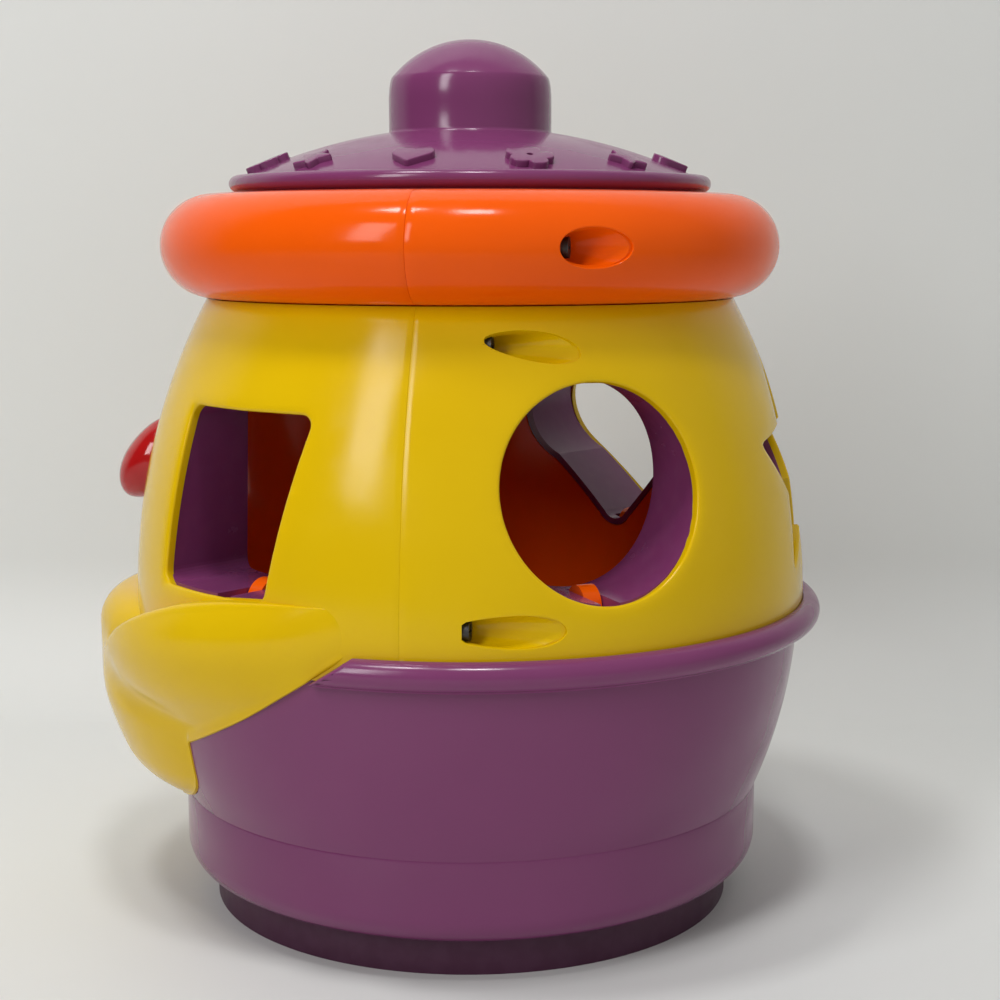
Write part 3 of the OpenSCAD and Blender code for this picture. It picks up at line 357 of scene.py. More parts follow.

# The dark_purple parts take the purple darkened as painted shade.
FINISH = {"purple": PURPLE, "dark_purple": PURPLE_PAINTED_SHADE, "yellow": YELLOW, "orange": ORANGE, "red": RED,
          "steel": STEEL, "black": BLACK, "grey": GREY, "cell": CELL, "board": BOARD}

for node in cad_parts.values():
    for slot in node.material_slots:
        name = slot.material.name.split(".")[0] if slot.material else ""
        if name in FINISH:
            slot.material = FINISH[name]


# Outlines of the holes

def leaning_square():
    """Level top and bottom, with sides that spread towards the top."""
    return (arc(13.9, -21.6, 3.4, 270, 350.15, 8) + arc(21.4, 21.6, 3.4, -9.85, 90, 9)
            + arc(-21.4, 21.6, 3.4, 90, 176.16, 8) + arc(-24.3, -21.6, 3.4, 176.16, 270, 9))


def lean_over(points, degrees):
    c, s = math.cos(math.radians(degrees)), math.sin(math.radians(degrees))
    return [(u * c - v * s, u * s + v * c) for u, v in points]


def star_points(tip, notch, blunt):
    points = []
    for i in range(10):
        r = notch if i % 2 else tip
        points.append((r * math.sin(math.radians(36 * i)), r * math.cos(math.radians(36 * i))))
    return [blunt_to(p, tip - blunt) for p in filled_in(points, 8)]


def blunt_to(point, limit):
    length = math.hypot(*point)
    return point if length <= limit else (point[0] * limit / length, point[1] * limit / length)


def filled_in(points, steps):
    """More points along each straight edge of an outline."""
    out = []
    for (u0, v0), (u1, v1) in zip(points, points[1:] + points[:1]):
        out += [(u0 + (u1 - u0) * i / steps, v0 + (v1 - v0) * i / steps) for i in range(steps)]
    return out


def heart_points(side):
    c, r = side * math.sqrt(0.125), side / 2
    right = arc(c, c, r, -45, 135, 24)
    left = arc(-c, c, r, 45, 225, 24)
    right = [p for p in right if p[0] > 0]
    left = [p for p in left if p[0] < 0]
    tip_r = HEART_TIP * side
    tip = arc(0, tip_r * math.sqrt(2) - side * math.sqrt(0.5), tip_r, 225, 315, 10)
    return filled_in(right, 2)[:-2] + filled_in(left, 2)[:-2] + tip


def triangle_points(in_r, blunt, lean):
    points = [(2 * in_r * math.sin(math.radians(120 * i)), 2 * in_r * math.cos(math.radians(120 * i)))
              for i in range(3)]
    return lean_over([blunt_to(p, 2 * in_r - 4 * blunt) for p in filled_in(points, 40)], lean)


def round_points(r, steps=96, squash=1.0):
    return [(u, v * squash) for u, v in arc(0, 0, r, 0, 360, steps)[:-1]]


def reach_of(outline, u, v):
    """How far an outline lies from its middle, on the ray through (u, v)."""
    if abs(u) > 200:
        return 0.0
    length = math.hypot(u, v) or 1e-9
    du, dv = u / length, v / length
    best = 0.0
    for (u0, v0), (u1, v1) in zip(outline, outline[1:] + outline[:1]):
        eu, ev = u1 - u0, v1 - v0
        cross = du * ev - dv * eu
        if abs(cross) < 1e-12:
            continue
        along = (u0 * ev - v0 * eu) / cross
        share = (u0 * dv - v0 * du) / cross
        if -1e-6 <= share <= 1 + 1e-6:
            best = max(best, along)
    return best


# Cutting holes in a skin

class Place:
    """Where a hole sits: flat() gives its own flat coordinates, lift() puts them back on the skin."""

    def __init__(self, flat, lift):
        self.flat, self.lift = flat, lift


def on_barrel(degrees, height):
    a = math.radians(degrees)
    out, across = Vector((math.sin(a), -math.cos(a), 0)), Vector((math.cos(a), math.sin(a), 0))

    def flat(co):
        return (co.dot(across), co.z - height) if co.dot(out) > 0 else (999, 999)

    def lift(u, v):
        r = barrel_at(height + v)
        return out * math.sqrt(max(r * r - u * u, 0)) + across * u + Vector((0, 0, height + v))

    return Place(flat, lift)


def unrolled(side, degrees, height, radius_at):
    """A spot on a round skin, its angle taken from straight behind, laid out flat."""
    a, r0 = math.radians(degrees), radius_at(height)

    def flat(co):
        if co.y < 0 or side * co.x < 0 or math.hypot(co.x, co.y) < r0 - 12:
            return (999, 999)
        return (r0 * (math.atan2(side * co.x, co.y) - a), co.z - height)

    def lift(u, v):
        r, t = radius_at(height + v), a + u / r0
        return Vector((side * r * math.sin(t), r * math.cos(t), height + v))

    return Place(flat, lift)


def well_on(side, x, z, bore, seat, radius_at):
    """A round well sunk straight forward from behind: where it sits and its outline on the skin."""
    rim = []
    for u, v in round_points(bore, 64):
        r = radius_at(z + v)
        rim.append((math.degrees(math.asin(min(x + u, math.sqrt(r * r - (seat + 0.3) ** 2)) / r)), v))
    middle = (min(a for a, v in rim) + max(a for a, v in rim)) / 2
    r0 = radius_at(z)
    return unrolled(side, middle, z, radius_at), [(r0 * math.radians(a - middle), v) for a, v in rim]


def border_loop(mesh):
    """Selected border edges as one loop of vertices in order."""
    edges = [e for e in mesh.edges if e.select]
    links = {}
    for e in edges:
        for v in e.verts:
            links.setdefault(v, []).append(e.other_vert(v))
    start = edges[0].verts[0]
    loop, last, here = [start], None, start
    while True:
        ahead = [v for v in links[here] if v is not last]
        last, here = here, ahead[0]
        if here is start:
            return loop
        loop.append(here)


def open_hole(piece, place, outline, margin, cell, dish=0.0, shares=(0.6, 0.32, 0.0), corners=(), clear=None):
    """Clears a patch of the skin round the hole and draws the patch's edge in to the outline."""
    take(piece, "FACE")
    clear = clear or outline

    def spare(co):
        u, v = place.flat(co)
        return math.hypot(u, v) - reach_of(clear, u, v)

    pick(piece, "faces", lambda f: spare(mid(f)) < margin)
    bpy.ops.mesh.delete(type="FACE")
    bpy.ops.mesh.select_mode(type="EDGE")
    pick(piece, "edges", lambda e: e.is_boundary and spare(mid(e)) < margin + cell)
    mesh = bmesh.from_edit_mesh(piece.data)
    loop = [place.flat(v.co * 1000) for v in border_loop(mesh)]
    spots = [tuple(v.co) for v in border_loop(mesh)]
    angles = [math.atan2(v, u) for u, v in loop]
    for i in range(1, len(angles)):
        angles[i] += round((angles[i - 1] - angles[i]) / (2 * math.pi)) * 2 * math.pi
    full = math.copysign(2 * math.pi, angles[-1] - angles[0])
    for _ in range(12):
        before, after = [angles[-1] - full] + angles[:-1], angles[1:] + [angles[0] + full]
        angles = [(p + 2 * q + r) / 4 for p, q, r in zip(before, angles, after)]
    goal = []
    for a in angles:
        reach = reach_of(outline, math.cos(a), math.sin(a))
        goal.append((reach * math.cos(a), reach * math.sin(a)))
    for corner in corners:
        nearest = min(range(len(goal)), key=lambda i: math.dist(goal[i], corner))
        goal[nearest] = corner
    for i, share in enumerate(shares):
        bpy.ops.mesh.extrude_region_move()
        mesh = bmesh.from_edit_mesh(piece.data)
        order = {spot: k for k, spot in enumerate(spots)}
        for vert in [v for v in mesh.verts if v.select]:
            k = order[tuple(vert.co)]
            u, v = (g + (p - g) * share for g, p in zip(goal[k], loop[k]))
            spot = place.lift(u, v)
            if dish and i >= len(shares) - 2:
                sink = dish if i == len(shares) - 1 else dish * 0.25
                spot -= Vector((spot.x, spot.y, 0)).normalized() * sink
            vert.co = spot * 0.001
            spots[k] = tuple(vert.co)
        bmesh.update_edit_mesh(piece.data)
    return [Vector(spot) for spot in spots]


def hull_of(points):
    """The outline of a rubber band round the points."""
    points = sorted(set(points))
    halves = []
    for run in (points, points[::-1]):
        half = []
        for p in run:
            while len(half) > 1 and ((half[-1][0] - half[-2][0]) * (p[1] - half[-2][1])
                                     - (half[-1][1] - half[-2][1]) * (p[0] - half[-2][0])) <= 0:
                half.pop()
            half.append(p)
        halves += half[:-1]
    return halves


def edge_of(piece, spots):
    """Selects the edges between the given spots."""
    known = {tuple(round(c * 1e6) for c in s) for s in spots}

    def at(v):
        return tuple(round(c * 1e6) for c in v.co) in known

    bpy.ops.mesh.select_mode(type="EDGE")
    bpy.ops.mesh.select_all(action="DESELECT")
    pick(piece, "edges", lambda e: at(e.verts[0]) and at(e.verts[1]))


def revolved_block(name, points):
    """A solid of revolution used as a cutter."""
    piece = draw_section(name, points)
    turn(piece, 360, 120)
    put_down()
    return piece


def cut_with(piece, cutter, operation):
    """Cuts or trims a piece with another one, which is then removed."""
    knife = piece.modifiers.new("cut", "BOOLEAN")
    knife.operation, knife.object, knife.solver = operation, cutter, "EXACT"
    apply_all(piece)
    bpy.data.objects.remove(cutter)


def screw_well(side, x, z, bore, seat, deep, inside):
    """A well for a screw: a round cup sunk from behind, trimmed to the inside of the skin."""
    wall, floor = 1.5, 1.6
    put_down()
    bpy.ops.mesh.primitive_cylinder_add(
        vertices=64, radius=(bore + wall) * 0.001, depth=(deep - seat + floor) * 0.001,
        location=mm(side * x, (deep + seat - floor) / 2, z), rotation=(-math.pi / 2, 0, 0))
    cup = bpy.context.object
    settle(cup)
    take(cup, "FACE")
    pick(cup, "faces", lambda f: f.normal.y > 0.9)
    bpy.ops.mesh.inset(thickness=wall * 0.001)
    bpy.ops.mesh.extrude_region_move(TRANSFORM_OT_translate={"value": mm(0, seat - deep, 0)})
    put_down()
    cut_with(cup, revolved_block("skin_inside", inside), "INTERSECT")
    return cup


def join_to(piece, *others):
    put_down()
    for other in others:
        other.select_set(True)
    piece.select_set(True)
    bpy.context.view_layer.objects.active = piece
    bpy.ops.object.join()
    return piece


FOOT_Z, CREASE_Z = 10.5, 35.7
SKIRT_R, SKIRT_EDGE, BOWL_R, BOWL_ARC = 89.9, 9.0, 102.0, 150.0
JAW_Z, JAW_SLOPE = 100.0, math.tan(math.radians(30))
RIM_END_Z, RIM_END_SLOPE = 103.4, 0.656

# The smile: a tilted round lip with a sloping flank, a lobe over the mouth and a wide chin
LIP_R, LIP_MID, LIP_Z, LIP_BACK, LIP_TILT = 26.0, 77.9, 99.2, 12.0, 11.0
FLANK_FROM, FLANK_SLANT = 35.0, 31.0
LOBE_TOP, LOBE_ROUND, LOBE_R, LOBE_FORWARD = 95.4, 11.0, 59.2, 60.0
CHIN_R, CHIN_FORWARD, CHIN_ARC, CHIN_ARC_Z = 77.55, 42.0, 85.0, 84.0
CHIN_END_R, CHIN_END_ROUND, CHIN_END_Z, CHIN_END_FROM = 49.3, 22.2, 57.0, 49.3
RIDGE_Z, RIDGE_SLOPE, RIDGE_TOP = 60.0, math.tan(math.radians(28)), 108.4
SMILE_BACK = 102.2


def bowl_at(z):
    """Outer radius of the base at a height."""
    if z < CREASE_Z:
        return SKIRT_R
    return BOWL_R - BOWL_ARC + math.sqrt(BOWL_ARC ** 2 - (min(z, SHELL_Z) - RIM_Z) ** 2)


# The smile, drawn as how far it stands out from the jar's axis in each direction and height

def smooth(x, low, high):
    t = min(max((x - low) / (high - low), 0.0), 1.0)
    return t * t * (3 - 2 * t)


def soft_max(a, b, k):
    h = min(max(0.5 + 0.5 * (a - b) / k, 0.0), 1.0)
    return b + (a - b) * h + k * h * (1 - h)


def lip_reach(a, z):
    """Reach of the tilted round lip and its flank."""
    tilt, start, slant = (math.radians(t) for t in (LIP_TILT, FLANK_FROM, FLANK_SLANT))
    flank_r, flank_h = LIP_R * math.cos(start), -LIP_R * math.sin(start)
    out_r, out_h = math.cos(slant), -math.sin(slant)

    def outside(r):
        x, y, h = r * math.sin(a), LIP_BACK - r * math.cos(a), z - LIP_Z
        y, h = y * math.cos(tilt) + h * math.sin(tilt), h * math.cos(tilt) - y * math.sin(tilt)
        u = math.hypot(x, y) - LIP_MID
        if (u - flank_r) * out_h - (h - flank_h) * out_r > 0:
            return (u - flank_r) * out_r + (h - flank_h) * out_h > 0
        return math.hypot(u, h) > LIP_R

    r = 126.0
    while outside(r) and r > 84:
        r -= 1.0
    low, high = r, r + 1
    for _ in range(14):
        low, high = (low, (low + high) / 2) if outside((low + high) / 2) else ((low + high) / 2, high)
    return low


def cup_reach(a, r, forward):
    """Reach of a circle whose middle lies forward of the jar's axis."""
    across = forward * math.sin(a)
    return forward * math.cos(a) + math.sqrt(r * r - across * across) if r > across else 0.0


def chin_reach(a, z):
    """Reach of the narrow lobe over the smile and the wide chin under it."""
    if z > LOBE_TOP + 0.01:
        return 0.0
    bulge = CHIN_ARC - math.sqrt(CHIN_ARC ** 2 - (z - CHIN_ARC_Z) ** 2)
    lobe_r, chin_r = LOBE_R - bulge, CHIN_R - bulge
    round_z = LOBE_TOP - LOBE_ROUND
    if z > round_z:
        lobe_r = LOBE_R - LOBE_ROUND + math.sqrt(max(LOBE_ROUND ** 2 - (z - round_z) ** 2, 0))
    if z < CHIN_END_FROM:
        chin_r = CHIN_END_R + math.sqrt(max(CHIN_END_ROUND ** 2 - (z - CHIN_END_Z) ** 2, 0))
    lobe, chin = cup_reach(a, lobe_r, LOBE_FORWARD), cup_reach(a, chin_r, CHIN_FORWARD)
    return chin + (lobe - chin) * smooth(z, 62, 82)


def smile_reach(a, z, low):
    """Reach of the whole smile; it fades into the barrel towards the sides."""
    side = math.degrees(a)
    barrel = barrel_at(z) - 0.6
    r = barrel + (lip_reach(a, z) - barrel) * (1 - smooth(side, 66, 89))
    r = soft_max(r, chin_reach(a, z), 5)
    if side > 40:
        edge = bowl_at(z) + 1.2
        edge -= 14 * smooth(z - low, 0, 16) + 8 * (1 - smooth(side, 40, 46)) + 6 * smooth(side, 80, 87)
        r = soft_max(r, edge, 2)
    return r


def smile_low(a):
    """Height of the smile's lower edge."""
    z = 70.0
    for _ in range(30):
        z = JAW_Z + 0.3 - JAW_SLOPE * max(lip_reach(a, z), bowl_at(z) + 1) * math.cos(a)
    side = math.degrees(a)
    z += 2.8 * smooth(side, 60, 86)
    if side > 47:
        return z
    chin = 32.6
    while chin < z and chin_reach(a, chin) < bowl_at(chin) + 0.4:
        chin += 0.1
    return min(z, chin)


def smile_ridge(a, low):
    """Height of the smile's upper ridge."""
    z = 100.0
    for _ in range(30):
        z = RIDGE_Z + RIDGE_SLOPE * lip_reach(a, z) * math.sin(a)
        z = -soft_max(-z, -RIDGE_TOP, 5)
    fade = z
    while lip_reach(a, fade) < barrel_at(fade) and fade > low + 6:
        fade -= 0.1
    return max(-soft_max(-z, -fade, 3), low + 2)


SMILE_ROWS = 44


def smile_column(a):
    """Section of the smile in one direction, from its lower edge to where it sinks into the barrel."""
    low = smile_low(a)
    ridge = smile_ridge(a, low)
    back = max(chin_reach(a, ridge), SMILE_BACK)
    crest = smile_reach(a, ridge - 1.5, low)
    step = max(crest - back, 0.0)
    ease = 0.1 + 2.1 * smooth(step, 0.5, 5)
    foot = smile_reach(a, low + 0.8, low)
    points = [(foot - 0.8, low), (foot - 0.24, low + 0.24)]
    for i in range(SMILE_ROWS + 1):
        z = low + 0.8 + (ridge - ease - low - 0.8) * i / SMILE_ROWS
        points.append((smile_reach(a, z, low), z))
    crest = points[-1][0]
    for i in range(1, 5):
        t = math.radians(22.5 * i)
        points.append((crest - ease * (1 - math.cos(t)), ridge - ease + ease * math.sin(t)))
    lift = (crest - back) * (1 - smooth(step, 1.2, 3.0))
    top = max(LOBE_TOP, ridge + 0.5)
    for i in range(15):
        z = ridge + 0.02 + (top - ridge - 0.02) * math.sin(math.pi / 28 * i)
        r = chin_reach(a, z)
        points.append((max(r + lift * math.exp(-(z - ridge) / 3), SMILE_BACK), z))
    points.append((SMILE_BACK - 0.2, top + 0.02))
    return points


def smile():
    """The smile: a net of points pulled out to its form, then given its inner side."""
    spread = ([36 * i / 46 for i in range(46)] + [36 + 12 * i / 60 for i in range(60)]
              + [48 + 42 * i / 64 for i in range(65)])
    columns = 2 * (len(spread) - 1)
    rows = len(smile_column(0.0))
    piece = draw_section("smile", [(100, i) for i in range(rows)], closed=False)
    turn(piece, 180, columns)
    mesh = bmesh.from_edit_mesh(piece.data)
    known = {}
    for vert in mesh.verts:
        turned = math.atan2(vert.co.x, -vert.co.y)
        place = round(abs(turned) / math.pi * columns)
        a = math.copysign(math.radians(spread[place]), turned)
        if place not in known:
            known[place] = smile_column(abs(a))
        r, z = known[place][round(vert.co.z * 1000)]
        vert.co = mm(r * math.sin(a), -r * math.cos(a), z)
    bmesh.update_edit_mesh(piece.data)
    bpy.ops.mesh.select_all(action="SELECT")
    bpy.ops.mesh.extrude_region_move()
    mesh = bmesh.from_edit_mesh(piece.data)
    for vert in mesh.verts:
        if vert.select:
            z = vert.co.z * 1000
            r = math.hypot(vert.co.x, vert.co.y) * 1000
            inside = min(bowl_at(z) + 0.25 if z < 80 else 101.5, r - 0.3)
            vert.co = Vector((vert.co.x * inside / r, vert.co.y * inside / r, vert.co.z))
    bmesh.update_edit_mesh(piece.data)
    bpy.ops.mesh.select_all(action="SELECT")
    bpy.ops.mesh.normals_make_consistent(inside=False)
    put_down()
    return piece


# The yellow shell

GRID = 3.2


def barrel_half(name, side):
    """Skin of one half of the barrel: side -1 in front, +1 behind."""
    steps = 80
    heights = [SHELL_Z + (SHELL_TOP - SHELL_Z) * i / steps for i in range(steps + 1)]
    piece = draw_section(name, [(barrel_at(z), z) for z in heights], closed=False)
    turn(piece, -side * 180, 150)
    mesh = bmesh.from_edit_mesh(piece.data)
    mesh.faces.ensure_lookup_table()
    face = mesh.faces[0]
    here = mid(face)
    if face.normal.dot(Vector((here.x, here.y, 0))) < 0:
        bpy.ops.mesh.flip_normals()
    return piece


def give_wall(piece, lips, small_lips):
    """Thickens a skin inwards, then rounds the lips of its holes and eases its parting edge."""
    put_down()
    bpy.context.view_layer.objects.active = piece
    wall = piece.modifiers.new("wall", "SOLIDIFY")
    wall.thickness, wall.offset = WALL * 0.001, -1
    apply_all(piece)
    take(piece, "EDGE")
    edge_of(piece, lips)
    bpy.ops.mesh.bevel(offset=HOLE_LIP_R * 0.001, segments=5, profile=0.5, clamp_overlap=True)
    if small_lips:
        edge_of(piece, small_lips)
        bpy.ops.mesh.bevel(offset=0.0005, segments=3, profile=0.5, clamp_overlap=True)
    bpy.ops.mesh.select_all(action="DESELECT")

    def at_parting(v):
        return abs(v.co.y) < 1e-6 and abs(abs(v.co.x) * 1000 - barrel_at(v.co.z * 1000)) < 0.01

    pick(piece, "edges", lambda e: all(at_parting(v) for v in e.verts))
    bpy.ops.mesh.bevel(offset=0.0001, segments=2, profile=0.5, clamp_overlap=True)


def barrel_inside(inset):
    heights = [SHELL_Z + (SHELL_TOP - SHELL_Z) * i / 40 for i in range(41)]
    return [(0, SHELL_Z)] + [(barrel_at(z) - inset, z) for z in heights] + [(0, SHELL_TOP)]


def back_shell():
    piece = barrel_half("back_shell_skin", 1)
    lips = open_hole(piece, on_barrel(*CIRCLE_AT), round_points(CIRCLE_R), 4.5, GRID, dish=0.4)
    tips = star_points(STAR_TIP, STAR_NOTCH, STAR_BLUNT)
    lips += open_hole(piece, on_barrel(*STAR_AT), tips, 5, GRID, dish=0.4,
                      corners=tips[::8], clear=round_points(STAR_TIP - 1))
    hearts = heart_points(HEART_SIDE)
    lips += open_hole(piece, on_barrel(*HEART_AT), hearts, 4.5, GRID, dish=0.4,
                      corners=[(0, HEART_SIDE * math.sqrt(0.5))], clear=hull_of(hearts))
    small_lips = []
    for x, z, seat in SHELL_WELLS:
        for side in (-1, 1):
            place, outline = well_on(side, x, z, SHELL_BORE, seat, barrel_at)
            small_lips += open_hole(piece, place, outline, 1.8, 2.6, shares=(0.5, 0.0))
    give_wall(piece, lips, small_lips)
    cups = [screw_well(side, x, z, SHELL_BORE, seat, 52, barrel_inside(0.7))
            for x, z, seat in SHELL_WELLS for side in (-1, 1)]
    return settle(join_to(piece, *cups))


def front_shell():
    piece = barrel_half("front_shell_skin", -1)
    lips = open_hole(piece, on_barrel(*SQUARE_AT), leaning_square(), 5, GRID, dish=0.6)
    blunt = triangle_points(TRIANGLE_IN_R, 1.5, TRIANGLE_LEAN)
    lips += open_hole(piece, on_barrel(*TRIANGLE_AT), blunt, 5, GRID, dish=0.6)
    lips += open_hole(piece, on_barrel(*NOSE_AT), round_points(NOSE_R + 0.5, 72, 0.98), 3.5, GRID)
    give_wall(piece, lips, [])
    return settle(join_to(piece, smile()))


# The base

def base_tub():
    """Skirt, bowl and inner ledge turned in one, with the rolled rim cut off beside the smile."""
    bowl = [(bowl_at(CREASE_Z + 0.15 + 52.15 * i / 44), CREASE_Z + 0.15 + 52.15 * i / 44) for i in range(45)]
    inner = [(bowl_at(z) - WALL - 0.2, z) for z in (82, 76, 70, 64, 58, 52, 46, 40, 36.2)]
    section = ([(67.6, FOOT_Z)] + arc(SKIRT_R - SKIRT_EDGE, FOOT_Z + SKIRT_EDGE, SKIRT_EDGE, -90, 0, 16)
               + [(SKIRT_R, 27), (SKIRT_R, CREASE_Z - 0.35), (SKIRT_R - 0.08, CREASE_Z - 0.05)] + bowl
               + [(84, SHELL_Z), (84, 82)] + inner
               + [(86.9, 35), (86.9, 22), (79, FOOT_Z + WALL), (67.6, FOOT_Z + WALL)])
    tub = draw_section("base_tub_body", section)
    turn(tub, 360, 240)
    settle(tub, 25)

    rim = draw_section("rolled_rim", [(100.6, 86.6), (100.6, 87.8), (103.5, 87.8), (103.6, 88.2)]
                       + arc(104.7, 91.2, 4, 105, -75, 22) + [(105.2, 86.8), (104.4, 86.6)])
    turn(rim, 360, 240)
    bpy.ops.mesh.bisect(plane_co=mm(0, 0, RIM_END_Z), plane_no=(0, -RIM_END_SLOPE, 1),
                        use_fill=True, clear_outer=True)
    bpy.ops.mesh.select_mode(type="EDGE")
    bpy.ops.mesh.select_all(action="DESELECT")
    pick(rim, "edges", lambda e: len(e.link_faces) == 2 and e.calc_face_angle() > 0.6
         and abs(mid(e).z - RIM_END_Z - RIM_END_SLOPE * mid(e).y) < 0.05)
    bpy.ops.mesh.bevel(offset=0.0007, segments=4, profile=0.5)
    settle(rim, 30)
    return join_to(tub, rim)


# The fat ring

def ring_at(z):
    return RING_R + math.sqrt(max(TUBE_R ** 2 - (z - RING_Z) ** 2, 0))


def ring_half(name, side):
    """One half of the ring: its round section with the lid's seat, as a thin wall."""
    section = arc(RING_R, RING_Z, TUBE_R, -112, 117, 92)
    section += [(71.2, SEAT_Z + 0.1), (70.9, SEAT_Z), (66.5, SEAT_Z), (66.0, SEAT_Z - 0.5), (66.0, 209.9)]
    section += arc(RING_R, RING_Z, TUBE_R, 148, 238, 24)[1:-1]
    piece = draw_section(name, section)
    turn(piece, -side * 180, 130)
    return piece


def finish_ring(piece, lips):
    """Thickens a half inwards, rounds the lips of its wells and eases its parting edge."""
    put_down()
    bpy.context.view_layer.objects.active = piece
    wall = piece.modifiers.new("wall", "SOLIDIFY")
    wall.thickness, wall.offset = RING_WALL * 0.001, -1
    apply_all(piece)
    take(piece, "EDGE")
    if lips:
        edge_of(piece, lips)
        bpy.ops.mesh.bevel(offset=0.0009, segments=4, profile=0.5, clamp_overlap=True)
        bpy.ops.mesh.select_all(action="DESELECT")

    def at_parting(v):
        from_tube = math.hypot(abs(v.co.x) * 1000 - RING_R, v.co.z * 1000 - RING_Z) - TUBE_R
        return abs(v.co.y) < 1e-6 and abs(from_tube) < 0.02

    pick(piece, "edges", lambda e: all(at_parting(v) for v in e.verts))
    bpy.ops.mesh.bevel(offset=0.0002, segments=2, profile=0.5, clamp_overlap=True)
    put_down()
    return settle(piece)


def front_ring():
    return finish_ring(ring_half("front_ring_tube", -1), [])


def back_ring():
    piece = ring_half("back_ring_tube", 1)
    x, z, seat = RING_WELL
    lips = []
    for side in (-1, 1):
        place, outline = well_on(side, x, z, RING_BORE, seat, ring_at)
        lips += open_hole(piece, place, outline, 2.0, 3.0, shares=(0.6, 0.3, 0.0))
    piece = finish_ring(piece, lips)
    low, high = (RING_R - 2, RING_Z - 13), (RING_R - 2, RING_Z + 13)
    inside = [low] + arc(RING_R, RING_Z, TUBE_R - 0.7, -90, 90, 40) + [high]
    cups = [screw_well(side, x, z, RING_BORE, seat, 60, inside) for side in (-1, 1)]
    return settle(join_to(piece, *cups))


# The lid

PAD_R, PAD_RING = 6.4, 62.0


def dome_at(r, inset):
    """Height of the dome, or of a surface inset under it, at a radius."""
    return DOME_Z - DOME_R + math.sqrt((DOME_R - inset) ** 2 - r ** 2)


def flower_points():
    points = []
    for i in range(120):
        a = 2 * math.pi * i / 120
        best = PAD_R * 0.6
        for k in range(5):
            b = a - math.radians(72 * k)
            across, along = PAD_R * 0.62 * math.sin(b), PAD_R * 0.62 * math.cos(b)
            if abs(across) < PAD_R * 0.46:
                best = max(best, along + math.sqrt((PAD_R * 0.46) ** 2 - across ** 2))
        points.append((best * math.cos(a), best * math.sin(a)))
    return points


def pad(name, outline, hole):
    """A raised shape: its outline filled, pulled up and rounded along the top."""
    piece = first_point(name, outline[0][0], 0)
    bpy.ops.transform.translate(value=mm(0, outline[0][1], 0))
    for (u0, v0), (u1, v1) in zip(outline, outline[1:]):
        bpy.ops.mesh.extrude_region_move(TRANSFORM_OT_translate={"value": mm(u1 - u0, v1 - v0, 0)})
    bpy.ops.mesh.select_all(action="SELECT")
    bpy.ops.mesh.edge_face_add()
    bpy.ops.mesh.select_mode(type="FACE")
    bpy.ops.mesh.select_all(action="SELECT")
    bpy.ops.mesh.normals_make_consistent(inside=False)
    bpy.ops.mesh.extrude_region_move(TRANSFORM_OT_translate={"value": mm(0, 0, 3.0)})
    bpy.ops.mesh.select_all(action="SELECT")
    bpy.ops.mesh.normals_make_consistent(inside=False)
    bpy.ops.mesh.select_mode(type="EDGE")
    bpy.ops.mesh.select_all(action="DESELECT")
    pick(piece, "edges", lambda e: all(v.co.z > 0.0029 for v in e.verts))
    bpy.ops.mesh.bevel(offset=0.0005, segments=3, profile=0.5, clamp_overlap=True)
    put_down()
    if hole:
        bpy.ops.mesh.primitive_cylinder_add(vertices=32, radius=0.0009, depth=0.004, location=mm(0, 0, 3.8))
        cut_with(piece, bpy.context.object, "DIFFERENCE")
    return piece


def lid_dome():
    """Shallow dome with a beaded edge and twelve raised shapes round it."""
    centre = DOME_Z - DOME_R
    top = [(r, dome_at(r, 0)) for r in [69.0 * i / 46 for i in range(47)]]
    bead = arc(LID_R - BEAD_R, 219.6, BEAD_R, 115, -95, 22)
    spigot = [(70.2, 216.9), (70.2, 215.2), (69.9, 214.9), (67.4, 214.9), (67.1, 215.2), (67.1, 217.5)]
    under = [(r, dome_at(r, 2.4)) for r in [66.5 * i / 20 for i in range(20, -1, -1)]]
    section = top + bead + spigot + under
    lid = draw_section("lid_shell", section)
    turn(lid, 360, 192)
    settle(lid, 40)

    kinds = [pad("flower_pad", flower_points(), True),
             pad("star_pad", star_points(PAD_R * 1.06, PAD_R * 0.53, 0.9), False),
             pad("heart_pad", heart_points(PAD_R * 1.1), False)]
    tilt = math.asin(PAD_RING / DOME_R)
    pads = []
    for i in range(12):
        put_down()
        kind = kinds[i % 3]
        kind.select_set(True)
        bpy.context.view_layer.objects.active = kind
        bpy.ops.object.duplicate(linked=False)
        copy = bpy.context.object
        a = math.radians(25.5 + 30 * i)
        reach = DOME_R - 1.2
        copy.rotation_euler = (tilt, 0, a)
        copy.location = mm(reach * math.sin(tilt) * math.sin(a), -reach * math.sin(tilt) * math.cos(a),
                           centre + reach * math.cos(tilt))
        pads.append(settle(copy, 30))
    for kind in kinds:
        bpy.data.objects.remove(kind)
    return join_to(lid, *pads)


def lid_knob():
    """Drum-shaped knob with a rounded top edge and a small dimple beside its middle."""
    r, cap_z, low = KNOB_R, KNOB_Z - KNOB_CAP_R, dome_at(KNOB_R, 0)
    corner = math.degrees(math.asin(r / KNOB_CAP_R))
    cap = arc(0, cap_z, KNOB_CAP_R, 90 - corner, 90, 18)
    cap[-1] = (0.0, KNOB_Z)
    foot = [(0.0, low + 0.3), (r - 4, low - 0.2), (r + 0.5, low - 0.2)]
    foot += [(r + 0.12, low + 0.25), (r, low + 0.8)]
    knob = draw_section("lid_knob_body", foot + [(r, 243.0)] + cap)
    soften_corners(knob, [(*cap[0], KNOB_EDGE_R)])
    turn(knob, 360, 144)
    put_down()
    bpy.ops.mesh.primitive_cylinder_add(vertices=40, radius=0.0015, depth=0.003,
                                        location=mm(0.6, -3.8, KNOB_Z + 0.1))
    cut_with(knob, bpy.context.object, "DIFFERENCE")
    return settle(knob, 40)


